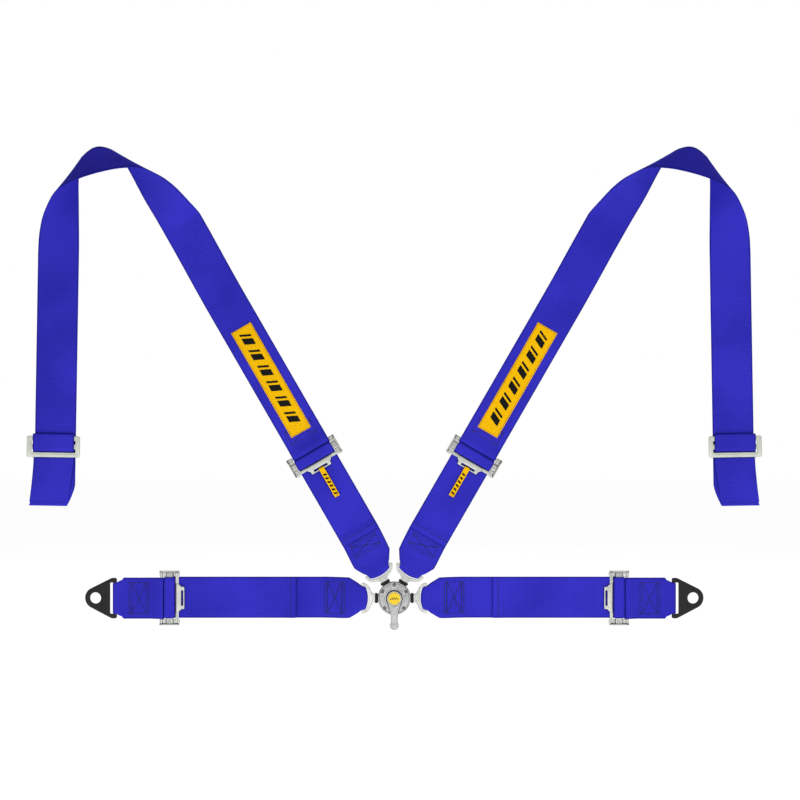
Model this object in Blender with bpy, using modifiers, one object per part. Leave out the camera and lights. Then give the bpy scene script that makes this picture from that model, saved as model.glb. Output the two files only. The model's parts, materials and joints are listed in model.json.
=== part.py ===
"""Four-point racing harness: cam-lock buckle, two lap belts and two shoulder belts.

Metres, +Z up, upright as worn and seen from the front: +X to the viewer's right, the viewer at -Y.
The origin is on the buckle's axis, where it meets the back of the buckle's pad.

Each belt is modelled in its own frame, held by an empty: x runs out along the belt from the
buckle's axis, y across it and z towards the viewer, from the plane of the tongues. Comments call
these three along, across and out. At the end all frames are moved together to the origin.
"""

import math

import bmesh
import bpy
from mathutils import Matrix, Vector

# Belts: angle of each from +X towards +Z, and what sort it is. Inner is a belt's upper side.
BELTS = {
    "lap_right": (0, "lap"),
    "shoulder_right": (60, "shoulder"),
    "shoulder_left": (120, "shoulder"),
    "lap_left": (180, "lap"),
}

# Webbing.
HALF_WIDTH = 0.0375
THICKNESS = 0.002
GAP = 0.0003
PITCH = THICKNESS + GAP  # between the middles of two layers that lie on each other
ROUND_STEPS = 10  # stretches in a half turn round a bar

# Buckle, measured out from the tongues' middle plane.
BUCKLE_RADIUS = 0.030
BASE_BACK = -0.006
BASE_FLOOR = -0.002
BASE_TOP = 0.0028
POCKET_RADIUS = 0.014
CHANNEL_WIDTH = 0.017
COVER_BACK = 0.0031
COVER_FRONT = 0.0089
CAM_POCKET_RADIUS = 0.0128
CAM_POCKET_TOP = 0.0066
PAD_BACK = -0.0095
PAD_RADIUS = 0.029
CLIP_POCKET_FLOOR = -0.0082
CHANNEL_ANGLES = (0, 60, 120, 180, 270)
SCREW_ANGLES = (30, 90, 150, 225, 315)
SCREW_CIRCLE = 0.025
SCREW_HEAD_RADIUS = 0.00265
SCREW_SHANK_RADIUS = 0.0014
SPINDLE_RADIUS = 0.003
LEVER_BACK = COVER_FRONT + GAP
LEVER_FRONT = 0.0134
LEVER_HUB_RADIUS = 0.0142
LEVER_REACH = 0.0573
BADGE_RADIUS = 0.0112

# Tongue.
TONGUE_THICKNESS = 0.003
TONGUE_TIP = 0.015
TONGUE_NECK = 0.015
TONGUE_WING = 0.028  # half width
TONGUE_BAR = 0.006  # along the belt
LOOP_START = 0.048  # nearest webbing to the buckle's axis
TONGUE_LOOP = 0.00465  # radius of the webbing's middle round the tongue's bar
TONGUE_AXIS = LOOP_START + TONGUE_LOOP + THICKNESS / 2
TAPER_HALF_WIDTH = 0.020
TAPER_END = 0.084
DRIFT = (0.062, 0.137)  # where the belt leaves the tongue's middle line and where it has come over
BELT_SHIFT = {"lap": 0.0016, "shoulder": 0.0034}  # to the inner side, past the drift

# Adjuster, measured from its front edge, nearest the buckle.
ADJUSTER_FRONT = {"lap": 0.391, "shoulder": 0.278}
FRAME_SHIFT = {"lap": 0.0008, "shoulder": 0.0034}
FRAME_LENGTH = 0.038
FRAME_HALF_WIDTH = 0.050
CHEEK_THICKNESS = 0.002
CHEEK_HEIGHT = 0.0135
PLATE_BACK = 0.0036
PLATE_THICKNESS = 0.0025
CROSSBAR = 0.009
RAIL_INNER = 0.0386
REAR_BAR = 0.034
REAR_BAR_RADIUS = 0.002
REAR_BAR_OUT = 0.0055
REAR_LOOP = 0.0033
LUG_LENGTH = 0.008
LUG_HALF_WIDTH = 0.0207
LUG_SLOT = (0.0038, 0.028)
LUG_OUT = 0.00665
SLIDER = (0.013, 0.005)
SLIDER_AT = (0.019, 0.0089)
ROLL = (0.0078, 0.0038)  # half length and half height of the webbing's middle

# Where sewn ends stop, out from the buckle's axis.
RETURN_END = 0.1295
TAIL_END = {"lap": 0.180, "shoulder": 0.1278}

# Lap anchor.
ANCHOR_AXIS = 0.5095
ANCHOR_BAR = (0.005, 0.003)
ANCHOR_LOOP = 0.0042
ANCHOR_OUT = 0.00185
ANCHOR_HALF_WIDTH = 0.037
ANCHOR_SLOT = (0.0073, 0.057)
ANCHOR_SHOULDER = 0.521
ANCHOR_HOLE_AT = 0.5465
ANCHOR_HOLE_RADIUS = 0.0102
ANCHOR_TIP_RADIUS = 0.0196
ANCHOR_BEND_AT = 0.523
ANCHOR_BEND = math.radians(10)
ANCHOR_NARROW = 0.0265  # half width of the webbing in the slot

# Upper shoulder strap.
STRAP_OUT = 0.003  # its front layer, once clear of the adjuster
UPPER_RETURN_END = 0.372
UPPER_SHIFT = 0.0042  # to the inner side of the belt's middle, from the rear bar on
TURN_SHIFT = 0.0065  # the same where the turn begins
TURN_BEGINS = 0.7852
TURN_STEPS = 56

# The turn at the top, on the right side: rows of the near edge's x and z, the far edge's x and z,
# and how far the far edge stands out. The first and last row only guide the curves' ends.
TURN = (
    (0.4019, 0.6342, 0.3369, 0.6717, 0.0),
    (0.4194, 0.6645, 0.3544, 0.7020, 0.0),
    (0.4375, 0.6960, 0.3738, 0.7243, 0.030),
    (0.4580, 0.7310, 0.3949, 0.7464, 0.043),
    (0.4790, 0.7710, 0.4143, 0.7618, 0.047),
    (0.4950, 0.7990, 0.4313, 0.7712, 0.045),
    (0.5080, 0.8135, 0.4480, 0.7784, 0.046),
    (0.5220, 0.8215, 0.4682, 0.7817, 0.051),
    (0.5376, 0.8251, 0.4971, 0.7795, 0.057),
    (0.5500, 0.8228, 0.5263, 0.7735, 0.060),
    (0.5600, 0.8165, 0.5568, 0.7649, 0.060),
    (0.5670, 0.8100, 0.5823, 0.7557, 0.054),
    (0.5720, 0.8035, 0.6056, 0.7449, 0.043),
    (0.5755, 0.7860, 0.6186, 0.7337, 0.036),
    (0.5768, 0.7600, 0.6304, 0.7156, 0.027),
    (0.5765, 0.7250, 0.6410, 0.6937, 0.016),
    (0.5762, 0.6880, 0.6477, 0.6644, 0.008),
    (0.5759, 0.6500, 0.6505, 0.6379, 0.002),
    (0.5764, 0.6120, 0.6514, 0.6120, 0.0),
    (0.5770, 0.5750, 0.6520, 0.5750, 0.0),
)
LABEL = (0.2206, 0.0413, 0.0005)
LABEL_AT = 0.4576
PULL_TAB = (0.0605, 0.0099, 0.001)
PULL_LOOP = 0.00255

# Three-bar slide and the loop below it.
TAIL_TOP = (0.6139, 0.612)
TAIL_AT = (0.6195, 0.277)  # the tail's middle at the slide
SLIDE_SHIFT = 0.0028  # the slide's and the wrap's middle, to the outside
SLIDE_BAR = 0.009
SLIDE_SLOT = 0.006
SLIDE_LENGTH = 3 * SLIDE_BAR + 2 * SLIDE_SLOT
SLIDE_HALF_WIDTH = 0.0485
SLIDE_THICKNESS = 0.0025
LOOP_END = 0.1084
LOOP_SKEW = (0.0016, 0.0118)  # of the front layer, to the outside: at the slide and at the fold
FOLD_RADIUS = PITCH / 2
WRAP_TOP = 0.021

COLOURS = {
    "webbing_blue": ((0.040, 0.036, 0.53), 0.75, 0.0),
    "zinc_silver": ((0.75, 0.77, 0.74), 0.28, 1.0),
    "cast_grey": ((0.50, 0.50, 0.51), 0.38, 0.7),
    "plate_black": ((0.02, 0.02, 0.02), 0.45, 0.5),
    "plastic_black": ((0.015, 0.015, 0.015), 0.5, 0.0),
    "label_yellow": ((0.75, 0.37, 0.003), 0.7, 0.0),
    "badge_yellow": ((0.87, 0.58, 0.005), 0.35, 0.0),
    "spring_steel": ((0.5, 0.5, 0.52), 0.3, 1.0),
    "rubber_black": ((0.02, 0.02, 0.02), 0.85, 0.0),
}


# ---------------------------------------------------------------- scene and materials


def clear_scene():
    for obj in list(bpy.data.objects):
        bpy.data.objects.remove(obj)


def new_collection(name):
    collection = bpy.data.collections.new(name)
    bpy.context.scene.collection.children.link(collection)
    return collection


def make_materials():
    for name, (colour, roughness, metallic) in COLOURS.items():
        material = bpy.data.materials.new(name)
        material.use_nodes = True
        shader = material.node_tree.nodes["Principled BSDF"]
        shader.inputs["Base Color"].default_value = (*colour, 1)
        shader.inputs["Roughness"].default_value = roughness
        shader.inputs["Metallic"].default_value = metallic
        material.diffuse_color = (*colour, 1)


def frame_matrix(angle):
    """Turns a belt's own frame into the harness's: x out along the belt, z to the viewer."""
    cos = math.cos(math.radians(angle))
    sin = math.sin(math.radians(angle))
    return Matrix(((cos, -sin, 0, 0), (0, 0, -1, 0), (sin, cos, 0, 0), (0, 0, 0, 1)))


def new_frame(name, matrix):
    empty = bpy.data.objects.new(name, None)
    PARTS.objects.link(empty)
    empty.matrix_world = matrix
    return empty


def add_part(name, mesh, slot, frame, origin=(0, 0, 0)):
    """Adds a sub-part whose mesh is drawn in its frame; its own origin goes on its joint's axis."""
    own = mesh.copy()
    own.name = name
    own.transform(Matrix.Translation(-Vector(origin)))
    own.materials.clear()
    own.materials.append(bpy.data.materials[slot])
    own.shade_smooth()
    own.set_sharp_from_angle(angle=math.radians(35))
    part = bpy.data.objects.new(name, own)
    PARTS.objects.link(part)
    part.parent = frame
    part.location = origin
    return part


# ---------------------------------------------------------------- shapes


def drawn(mesh):
    """A helper object that holds a mesh while it is cut or joined."""
    helper = bpy.data.objects.new("helper", mesh)
    CUTTERS.objects.link(helper)
    helper.hide_render = True
    helper.display_type = "WIRE"
    return helper


def evaluated(helper):
    """The helper's mesh with its modifiers applied. The helper is removed."""
    graph = bpy.context.evaluated_depsgraph_get()
    mesh = bpy.data.meshes.new_from_object(helper.evaluated_get(graph))
    bpy.data.objects.remove(helper)
    return mesh


def boolean(operation, mesh, *others):
    target = drawn(mesh)
    tools = [drawn(other) for other in others]
    for tool in tools:
        modifier = target.modifiers.new(operation, "BOOLEAN")
        modifier.operation = operation
        modifier.object = tool
        modifier.solver = "EXACT"
    result = evaluated(target)
    for tool in tools:
        bpy.data.objects.remove(tool)
    return result


def cut(mesh, *others):
    return boolean("DIFFERENCE", mesh, *others)


def join(mesh, *others):
    return boolean("UNION", mesh, *others)


def beveled(mesh, width, segments=2, angle=35):
    target = drawn(mesh)
    modifier = target.modifiers.new("edges", "BEVEL")
    modifier.width = width
    modifier.segments = segments
    modifier.limit_method = "ANGLE"
    modifier.angle_limit = math.radians(angle)
    return evaluated(target)


def mesh_from(bm):
    mesh = bpy.data.meshes.new("shape")
    bm.to_mesh(mesh)
    bm.free()
    return mesh


def box(low, high):
    bm = bmesh.new()
    low, high = Vector(low), Vector(high)
    size = high - low
    matrix = Matrix.Translation((low + high) / 2) @ Matrix.Diagonal((*size, 1))
    bmesh.ops.create_cube(bm, size=1, matrix=matrix)
    return mesh_from(bm)


def disc(radius, low, high, centre=(0, 0), segments=40):
    """A cylinder along z, from low to high."""
    bm = bmesh.new()
    matrix = Matrix.Translation((*centre, (low + high) / 2))
    bmesh.ops.create_cone(
        bm, cap_ends=True, segments=segments, radius1=radius, radius2=radius,
        depth=high - low, matrix=matrix,
    )
    return mesh_from(bm)


def cross_rod(radius, along, out, half_width, segments=20):
    """A round bar that crosses the belt."""
    bm = bmesh.new()
    matrix = Matrix.Translation((along, 0, out)) @ Matrix.Rotation(math.pi / 2, 4, "X")
    bmesh.ops.create_cone(
        bm, cap_ends=True, segments=segments, radius1=radius, radius2=radius,
        depth=2 * half_width, matrix=matrix,
    )
    return mesh_from(bm)


def welded_curve(data):
    """A curve's evaluated mesh, with its loose caps joined to its sides."""
    helper = bpy.data.objects.new("curve", data)
    CUTTERS.objects.link(helper)
    mesh = evaluated(helper)
    bm = bmesh.new()
    bm.from_mesh(mesh)
    bmesh.ops.remove_doubles(bm, verts=bm.verts, dist=1e-6)
    bmesh.ops.recalc_face_normals(bm, faces=bm.faces)
    return mesh_from(bm)


def flat(outline, low, high):
    """A plate with a closed outline of (x, y) points, from z low to z high."""
    data = bpy.data.curves.new("outline", "CURVE")
    data.dimensions = "2D"
    data.fill_mode = "BOTH"
    data.extrude = (high - low) / 2
    spline = data.splines.new("POLY")
    spline.points.add(len(outline) - 1)
    for point, (x, y) in zip(spline.points, outline):
        point.co = (x, y, 0, 1)
    spline.use_cyclic_u = True
    mesh = welded_curve(data)
    mesh.transform(Matrix.Translation((0, 0, (low + high) / 2)))
    return mesh


def wire(points, radius):
    data = bpy.data.curves.new("wire", "CURVE")
    data.dimensions = "3D"
    data.bevel_depth = radius
    data.bevel_resolution = 1
    data.use_fill_caps = True
    spline = data.splines.new("POLY")
    spline.points.add(len(points) - 1)
    for point, place in zip(spline.points, points):
        point.co = (*place, 1)
    return welded_curve(data)


def turned(mesh, angle):
    mesh.transform(Matrix.Rotation(math.radians(angle), 4, "Z"))
    return mesh


def arc(centre, radius, first, last, steps):
    """Points on an arc, angles in degrees."""
    angles = [math.radians(first + (last - first) * i / steps) for i in range(steps + 1)]
    return [(centre[0] + radius * math.cos(a), centre[1] + radius * math.sin(a)) for a in angles]


def smooth(t):
    t = min(max(t, 0), 1)
    return t * t * (3 - 2 * t)


def shifted(mesh, across):
    mesh.transform(Matrix.Translation((0, across, 0)))
    return mesh


def ease(first, last, steps):
    """Points from first to last that leave and arrive level, without the first."""
    points = []
    for i in range(1, steps + 1):
        t = i / steps
        along = first[0] + (last[0] - first[0]) * t
        points.append((along, first[1] + (last[1] - first[1]) * smooth(t)))
    return points


def ribbon(stations, across=2, thickness=THICKNESS):
    """A strap through stations of (centre, half-width vector), thickened both ways."""
    bm = bmesh.new()
    last = len(stations) - 1
    bmesh.ops.create_grid(bm, x_segments=last, y_segments=across, size=1)
    for vert in bm.verts:
        centre, half = stations[round((vert.co.x + 1) / 2 * last)]
        vert.co = Vector(centre) + Vector(half) * vert.co.y
    target = drawn(mesh_from(bm))
    modifier = target.modifiers.new("thickness", "SOLIDIFY")
    modifier.thickness = thickness
    modifier.offset = 0
    modifier.use_even_offset = True
    return evaluated(target)


def level_ribbon(path, half_width, thickness=THICKNESS, across=1):
    """A strap along a path of (along, out) points; half_width gives its half width at each."""
    stations = [((x, 0, z), (0, half_width(x), 0)) for x, z in path]
    return ribbon(stations, across, thickness)


# ---------------------------------------------------------------- buckle


def buckle_base():
    mesh = disc(BUCKLE_RADIUS, BASE_BACK, BASE_TOP, segments=48)
    tools = [disc(POCKET_RADIUS, BASE_FLOOR, BASE_TOP + 0.001)]
    tools.append(disc(SPINDLE_RADIUS + GAP, BASE_BACK - 0.001, 0))
    for angle in CHANNEL_ANGLES:
        half = CHANNEL_WIDTH / 2
        channel = box((0, -half, BASE_FLOOR), (2 * BUCKLE_RADIUS, half, BASE_TOP + 0.002))
        tools.append(turned(channel, angle))
    for x, y in screw_places():
        tools.append(disc(SCREW_SHANK_RADIUS + GAP, -0.0045, BASE_TOP + 0.003, (x, y), 12))
    return cut(mesh, *tools)


def screw_places():
    places = []
    for angle in SCREW_ANGLES:
        turn = math.radians(angle)
        places.append((SCREW_CIRCLE * math.cos(turn), SCREW_CIRCLE * math.sin(turn)))
    return places


def buckle_cover():
    mesh = beveled(disc(BUCKLE_RADIUS, COVER_BACK, COVER_FRONT, segments=48), 0.0009, 1)
    tools = [disc(CAM_POCKET_RADIUS, COVER_BACK - 0.001, CAM_POCKET_TOP)]
    tools.append(disc(SPINDLE_RADIUS + GAP, COVER_BACK, COVER_FRONT + 0.001))
    for x, y in screw_places():
        tools.append(disc(SCREW_SHANK_RADIUS + GAP, COVER_BACK - 0.001, 0.0075, (x, y), 12))
        tools.append(disc(SCREW_HEAD_RADIUS + GAP, 0.0071, COVER_FRONT + 0.001, (x, y), 16))
    return cut(mesh, *tools)


def buckle_back_pad():
    mesh = beveled(disc(PAD_RADIUS, PAD_BACK, BASE_BACK - GAP, segments=48), 0.0008, 1)
    return cut(mesh, disc(0.0075, CLIP_POCKET_FLOOR, 0))


def cover_screw():
    head = disc(SCREW_HEAD_RADIUS, 0.0074, 0.0091, segments=16)
    head = beveled(head, 0.0005, 1)
    return join(head, disc(SCREW_SHANK_RADIUS, -0.0035, 0.0078, segments=12))


def latch_spring():
    """A five-fingered leaf whose turned-down tips stand in the tongues' windows."""
    fingers = []
    for angle in CHANNEL_ANGLES:
        fingers.append(turned(box((0.009, -0.0035, 0.0021), (0.0225, 0.0035, 0.0027)), angle))
        fingers.append(turned(box((0.0200, -0.0032, -0.001), (0.0223, 0.0032, 0.0025)), angle))
    mesh = join(disc(0.012, 0.0020, 0.0028), *fingers)
    return cut(mesh, disc(0.005, 0.001, 0.004))


def return_spring():
    turns = 3
    steps = 10 * turns
    points = []
    for i in range(steps + 1):
        turn = 2 * math.pi * turns * i / steps
        rise = -0.0012 + 0.0026 * i / steps * 0.9
        radius = 0.0070 + 0.0050 * i / steps
        points.append((radius * math.cos(turn), radius * math.sin(turn), rise))
    return wire(points, 0.0004)


def lever_outline():
    """Round hub, an arm that narrows, and a wider knob at the end, pointing along -y."""
    half_neck = 0.006
    half_knob = 0.0081
    knob = -LEVER_REACH + half_knob
    right = arc((0, 0), LEVER_HUB_RADIUS, 90, -45, 14)
    right += [(half_neck + 0.001, -0.024), (half_neck, -0.035), (half_neck + 0.0006, knob + 0.005)]
    right += arc((0, knob), half_knob, 0, -90, 8)
    left = [(-x, y) for x, y in reversed(right)]
    return right + left[1:-1]


def release_lever():
    mesh = beveled(flat(lever_outline(), LEVER_BACK, LEVER_FRONT), 0.0009, 1)
    socket = disc(SPINDLE_RADIUS + GAP, LEVER_BACK - 0.001, 0.0116)
    return cut(mesh, socket, disc(BADGE_RADIUS + GAP, 0.0124, LEVER_FRONT + 0.001, segments=40))


def lever_badge():
    return beveled(disc(BADGE_RADIUS, 0.0127, 0.0138, segments=40), 0.0005, 1)


def lever_spindle():
    return disc(SPINDLE_RADIUS, -0.0079, 0.0113, segments=32)


def release_cam():
    lobes = len(CHANNEL_ANGLES)
    steps = 40
    outline = []
    for i in range(steps):
        turn = 2 * math.pi * i / steps
        radius = 0.0098 + 0.0016 * math.cos(lobes * turn)
        outline.append((radius * math.cos(turn), radius * math.sin(turn)))
    return cut(flat(outline, 0.0034, 0.0062), disc(SPINDLE_RADIUS + GAP, 0.003, 0.007))


def spindle_clip():
    """A retaining ring with a gap, in the pocket behind the base."""
    outline = arc((0, 0), 0.0056, 25, 335, 24) + arc((0, 0), SPINDLE_RADIUS + GAP, 335, 25, 24)
    return flat(outline, -0.0076, -0.0066)


def add_buckle():
    frame = new_frame("buckle_frame", frame_matrix(0))
    add_part("buckle_base", buckle_base(), "cast_grey", frame)
    add_part("buckle_cover", buckle_cover(), "cast_grey", frame)
    add_part("buckle_back_pad", buckle_back_pad(), "rubber_black", frame)
    add_part("latch_spring", latch_spring(), "spring_steel", frame)
    add_part("return_spring", return_spring(), "spring_steel", frame)
    screw = cover_screw()
    for number, (x, y) in enumerate(screw_places(), 1):
        part = add_part(f"cover_screw_{number}", screw, "zinc_silver", frame)
        part.location = (x, y, 0)
    add_part("release_lever", release_lever(), "cast_grey", frame)
    add_part("lever_badge", lever_badge(), "badge_yellow", frame)
    add_part("lever_spindle", lever_spindle(), "spring_steel", frame)
    add_part("release_cam", release_cam(), "spring_steel", frame)
    add_part("spindle_clip", spindle_clip(), "spring_steel", frame)


# ---------------------------------------------------------------- tongue


def tongue():
    """A neck with a latch window, and wings that carry the bar behind the webbing's slot."""
    half = TONGUE_NECK / 2
    rear = TONGUE_AXIS + TONGUE_BAR / 2
    corner = 0.004
    front_corner = 0.007
    upper = [(TONGUE_TIP, half - 0.0015), (TONGUE_TIP + 0.0015, half), (0.036, half)]
    upper += [(0.0385, 0.0088), (0.0405, 0.0125), (0.0430, 0.0190)]
    upper += arc((0.0515, TONGUE_WING - front_corner), front_corner, 165, 90, 6)
    upper += arc((rear - corner, TONGUE_WING - corner), corner, 90, 0, 6)
    lower = [(x, -y) for x, y in reversed(upper)]
    mesh = flat(upper + lower, -TONGUE_THICKNESS / 2, TONGUE_THICKNESS / 2)
    slot_end = TONGUE_AXIS - TONGUE_BAR / 2
    slot = box((slot_end - 0.004, -0.0215, -0.01), (slot_end, 0.0215, 0.01))
    window = box((0.0190, -0.0045, -0.01), (0.0237, 0.0045, 0.01))
    return cut(mesh, slot, window)


def tongue_collar():
    half = TONGUE_NECK / 2
    outer = beveled(box((0.0306, -half - 0.0017, -0.0032), (0.0352, half + 0.0017, 0.0032)), 0.0006)
    return cut(outer, box((0.02, -half - GAP, -0.0018), (0.04, half + GAP, 0.0018)))


# ---------------------------------------------------------------- belt from tongue to adjuster


def belt_half_width(along):
    """Narrow where the webbing passes the tongue, full width from the taper's end."""
    t = (along - LOOP_START) / (TAPER_END - LOOP_START)
    return TAPER_HALF_WIDTH + (HALF_WIDTH - TAPER_HALF_WIDTH) * min(max(t, 0), 1)


def drifted(mesh, shift):
    """Moves a belt's mesh over to its inner side by degrees."""
    start, end = DRIFT
    for vert in mesh.vertices:
        vert.co.y += shift * smooth((vert.co.x - start) / (end - start))
    return mesh


def load_strap(kind, inner):
    """From its sewn end behind the belt, round the tongue's bar and out to the adjuster."""
    end = ADJUSTER_FRONT[kind] + 0.0034
    path = [(RETURN_END, -PITCH), (0.112, -PITCH), (0.098, -PITCH), (TAPER_END + 0.002, -PITCH)]
    path += ease(path[-1], (TONGUE_AXIS, -TONGUE_LOOP), 6)
    path += arc((TONGUE_AXIS, 0), TONGUE_LOOP, 270, 90, ROUND_STEPS)[1:]
    path += ease(path[-1], (TAPER_END + 0.002, 0), 6)
    path += [(0.098, 0), (0.112, 0), (0.125, 0), (DRIFT[1], 0), (end, 0)]
    return drifted(level_ribbon(path, belt_half_width), inner * BELT_SHIFT[kind])


def tail_strap(kind, inner):
    """The free end: up round the slider and back along the front of the belt."""
    front = ADJUSTER_FRONT[kind]
    roll = front + SLIDER_AT[0]
    level = SLIDER_AT[1]
    half_length, half_height = ROLL
    nose = half_length - half_height
    path = [(front + 0.005, 0), (front + 0.0095, 0)]
    path += ease(path[-1], (roll + 0.002, 0.0035), 4)
    path += arc((roll + nose, level), half_height, 300, 450, ROUND_STEPS)
    path += arc((roll - nose, level), half_height, 90, 215, ROUND_STEPS)
    path += [(front + 0.0120, 0.0042), (front + 0.0116, 0.0030), (front + 0.0107, PITCH)]
    path += [(0.5 * (TAIL_END[kind] + front), PITCH), (TAIL_END[kind], PITCH)]
    return shifted(level_ribbon(path, lambda along: HALF_WIDTH), inner * BELT_SHIFT[kind])


# ---------------------------------------------------------------- adjuster


def adjuster_frame(front):
    """A window frame with upturned cheeks, a round rear bar and a slotted lug in front."""
    top = PLATE_BACK + PLATE_THICKNESS
    half = FRAME_HALF_WIDTH
    plate = box((front, -half, PLATE_BACK), (front + FRAME_LENGTH, half, top))
    lug_slot = front - 0.0055
    corner = 0.004
    outline = [(front + 0.004, LUG_HALF_WIDTH)]
    outline += arc((front - LUG_LENGTH + corner, LUG_HALF_WIDTH - corner), corner, 90, 180, 5)
    outline += [(x, -y) for x, y in reversed(outline)]
    lug = flat(outline, LUG_OUT - PLATE_THICKNESS / 2, LUG_OUT + PLATE_THICKNESS / 2)
    pieces = [lug, cross_rod(REAR_BAR_RADIUS, front + REAR_BAR, REAR_BAR_OUT, half - 0.0005)]
    for side in (-1, 1):
        edges = sorted((side * half, side * (half - CHEEK_THICKNESS)))
        cheek = box((front + 0.003, edges[0], PLATE_BACK), (front + FRAME_LENGTH, edges[1], CHEEK_HEIGHT))
        cheek = beveled(cheek, 0.0005, 1)
        pieces.append(cheek)
    window = box((front + CROSSBAR, -RAIL_INNER, 0), (front + 0.1, RAIL_INNER, top + 0.001))
    slot_half = LUG_SLOT[1] / 2
    slot = box((lug_slot, -slot_half, 0), (lug_slot + LUG_SLOT[0], slot_half, 0.02))
    body = join(cut(plate, window), *pieces)
    return cut(body, slot)


def adjuster_slider(front):
    """A bar with round front and rear edges, lying across the frame's rails."""
    length, height = SLIDER
    nose = (length - height) / 2
    outline = arc((nose, 0), height / 2, -90, 90, 8) + arc((-nose, 0), height / 2, 90, 270, 8)
    half = FRAME_HALF_WIDTH - CHEEK_THICKNESS - 0.0007
    mesh = flat(outline, -half, half)
    mesh.transform(Matrix.Rotation(math.pi / 2, 4, "X"))
    mesh.transform(Matrix.Translation((front + SLIDER_AT[0], 0, SLIDER_AT[1])))
    return mesh


def add_belt(name, angle, kind):
    frame = new_frame(f"{name}_frame", frame_matrix(angle))
    front = ADJUSTER_FRONT[kind]
    rear_axis = (front + REAR_BAR, 0, REAR_BAR_OUT)
    tongue_axis = (TONGUE_AXIS, 0, 0)
    inner = -1 if name.endswith("left") else 1
    frame_shift = inner * FRAME_SHIFT[kind]
    slider_at = (front + SLIDER_AT[0], 0, SLIDER_AT[1])
    add_part(f"tongue_{name}", tongue(), "zinc_silver", frame)
    add_part(f"tongue_collar_{name}", tongue_collar(), "plastic_black", frame)
    add_part(f"load_strap_{name}", load_strap(kind, inner), "webbing_blue", frame, tongue_axis)
    add_part(f"tail_strap_{name}", tail_strap(kind, inner), "webbing_blue", frame, slider_at)
    pressed = shifted(adjuster_frame(front), frame_shift)
    slider = shifted(adjuster_slider(front), frame_shift)
    add_part(f"adjuster_frame_{name}", pressed, "zinc_silver", frame, rear_axis)
    add_part(f"adjuster_slider_{name}", slider, "zinc_silver", frame, slider_at)
    if kind == "lap":
        add_anchor(name, frame, rear_axis)
    else:
        add_shoulder(name, frame, rear_axis)


# ---------------------------------------------------------------- lap anchor


def anchor_half_width(along):
    """Full width until just before the plate, then narrowed to pass through its slot."""
    start = ANCHOR_AXIS - 0.0075
    t = (along - start) / 0.005
    return HALF_WIDTH + (ANCHOR_NARROW - HALF_WIDTH) * min(max(t, 0), 1)


def anchor_strap():
    """A short strap, both ends turned back behind it: one round the adjuster, one the plate."""
    bar = ADJUSTER_FRONT["lap"] + REAR_BAR
    middle = (bar + ANCHOR_AXIS) / 2
    behind = STRAP_OUT - PITCH
    path = [(middle - 0.002, behind), (bar + 0.024, behind)]
    path += ease(path[-1], (bar, REAR_BAR_OUT - REAR_LOOP), 6)
    path += arc((bar, REAR_BAR_OUT), REAR_LOOP, 270, 90, ROUND_STEPS)[1:]
    path += ease(path[-1], (bar + 0.024, STRAP_OUT), 6)
    path += [(ANCHOR_AXIS - 0.024, STRAP_OUT)]
    path += ease(path[-1], (ANCHOR_AXIS, ANCHOR_OUT + ANCHOR_LOOP), 8)
    path += arc((ANCHOR_AXIS, ANCHOR_OUT), ANCHOR_LOOP, 90, -90, ROUND_STEPS)[1:]
    path += ease(path[-1], (ANCHOR_AXIS - 0.024, behind), 8)
    path += [(middle + 0.002, behind)]
    return level_ribbon(path, anchor_half_width)


def anchor_plate():
    """A slotted plate that narrows to a round lug with a bolt hole, bent back past the slot."""
    rear = ANCHOR_AXIS - ANCHOR_BAR[0] / 2
    corner = 0.003
    reach = Vector((ANCHOR_SHOULDER - ANCHOR_HOLE_AT, ANCHOR_HALF_WIDTH))
    tangent = math.degrees(math.atan2(reach.y, reach.x) - math.acos(ANCHOR_TIP_RADIUS / reach.length))
    upper = arc((rear + corner, ANCHOR_HALF_WIDTH - corner), corner, 180, 90, 5)
    upper += arc((ANCHOR_SHOULDER - corner, ANCHOR_HALF_WIDTH - corner), corner, 90, tangent, 4)
    upper += arc((ANCHOR_HOLE_AT, 0), ANCHOR_TIP_RADIUS, tangent, 0, 10)
    lower = [(x, -y) for x, y in reversed(upper[:-1])]
    half = ANCHOR_BAR[1] / 2
    mesh = flat(upper + lower, ANCHOR_OUT - half, ANCHOR_OUT + half)
    slot_start = ANCHOR_AXIS + ANCHOR_BAR[0] / 2
    slot_half = ANCHOR_SLOT[1] / 2
    slot = box((slot_start, -slot_half, -0.02), (slot_start + ANCHOR_SLOT[0], slot_half, 0.02))
    hole = disc(ANCHOR_HOLE_RADIUS, -0.02, 0.02, (ANCHOR_HOLE_AT, 0), 32)
    return bent(cut(mesh, slot, hole))


def bent(mesh):
    """Leans everything past the bend line back, keeping its faces flat."""
    bm = bmesh.new()
    bm.from_mesh(mesh)
    bmesh.ops.bisect_plane(
        bm, geom=bm.verts[:] + bm.edges[:] + bm.faces[:], dist=1e-7,
        plane_co=(ANCHOR_BEND_AT, 0, 0), plane_no=(1, 0, 0),
    )
    for vert in bm.verts:
        past = max(vert.co.x - ANCHOR_BEND_AT, 0)
        vert.co.z -= past * math.tan(ANCHOR_BEND)
    return mesh_from(bm)


def add_anchor(name, frame, rear_axis):
    anchor_axis = (ANCHOR_AXIS, 0, ANCHOR_OUT)
    add_part(f"anchor_strap_{name}", anchor_strap(), "webbing_blue", frame, rear_axis)
    add_part(f"anchor_plate_{name}", anchor_plate(), "plate_black", frame, anchor_axis)


# ---------------------------------------------------------------- upper shoulder strap


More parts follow.
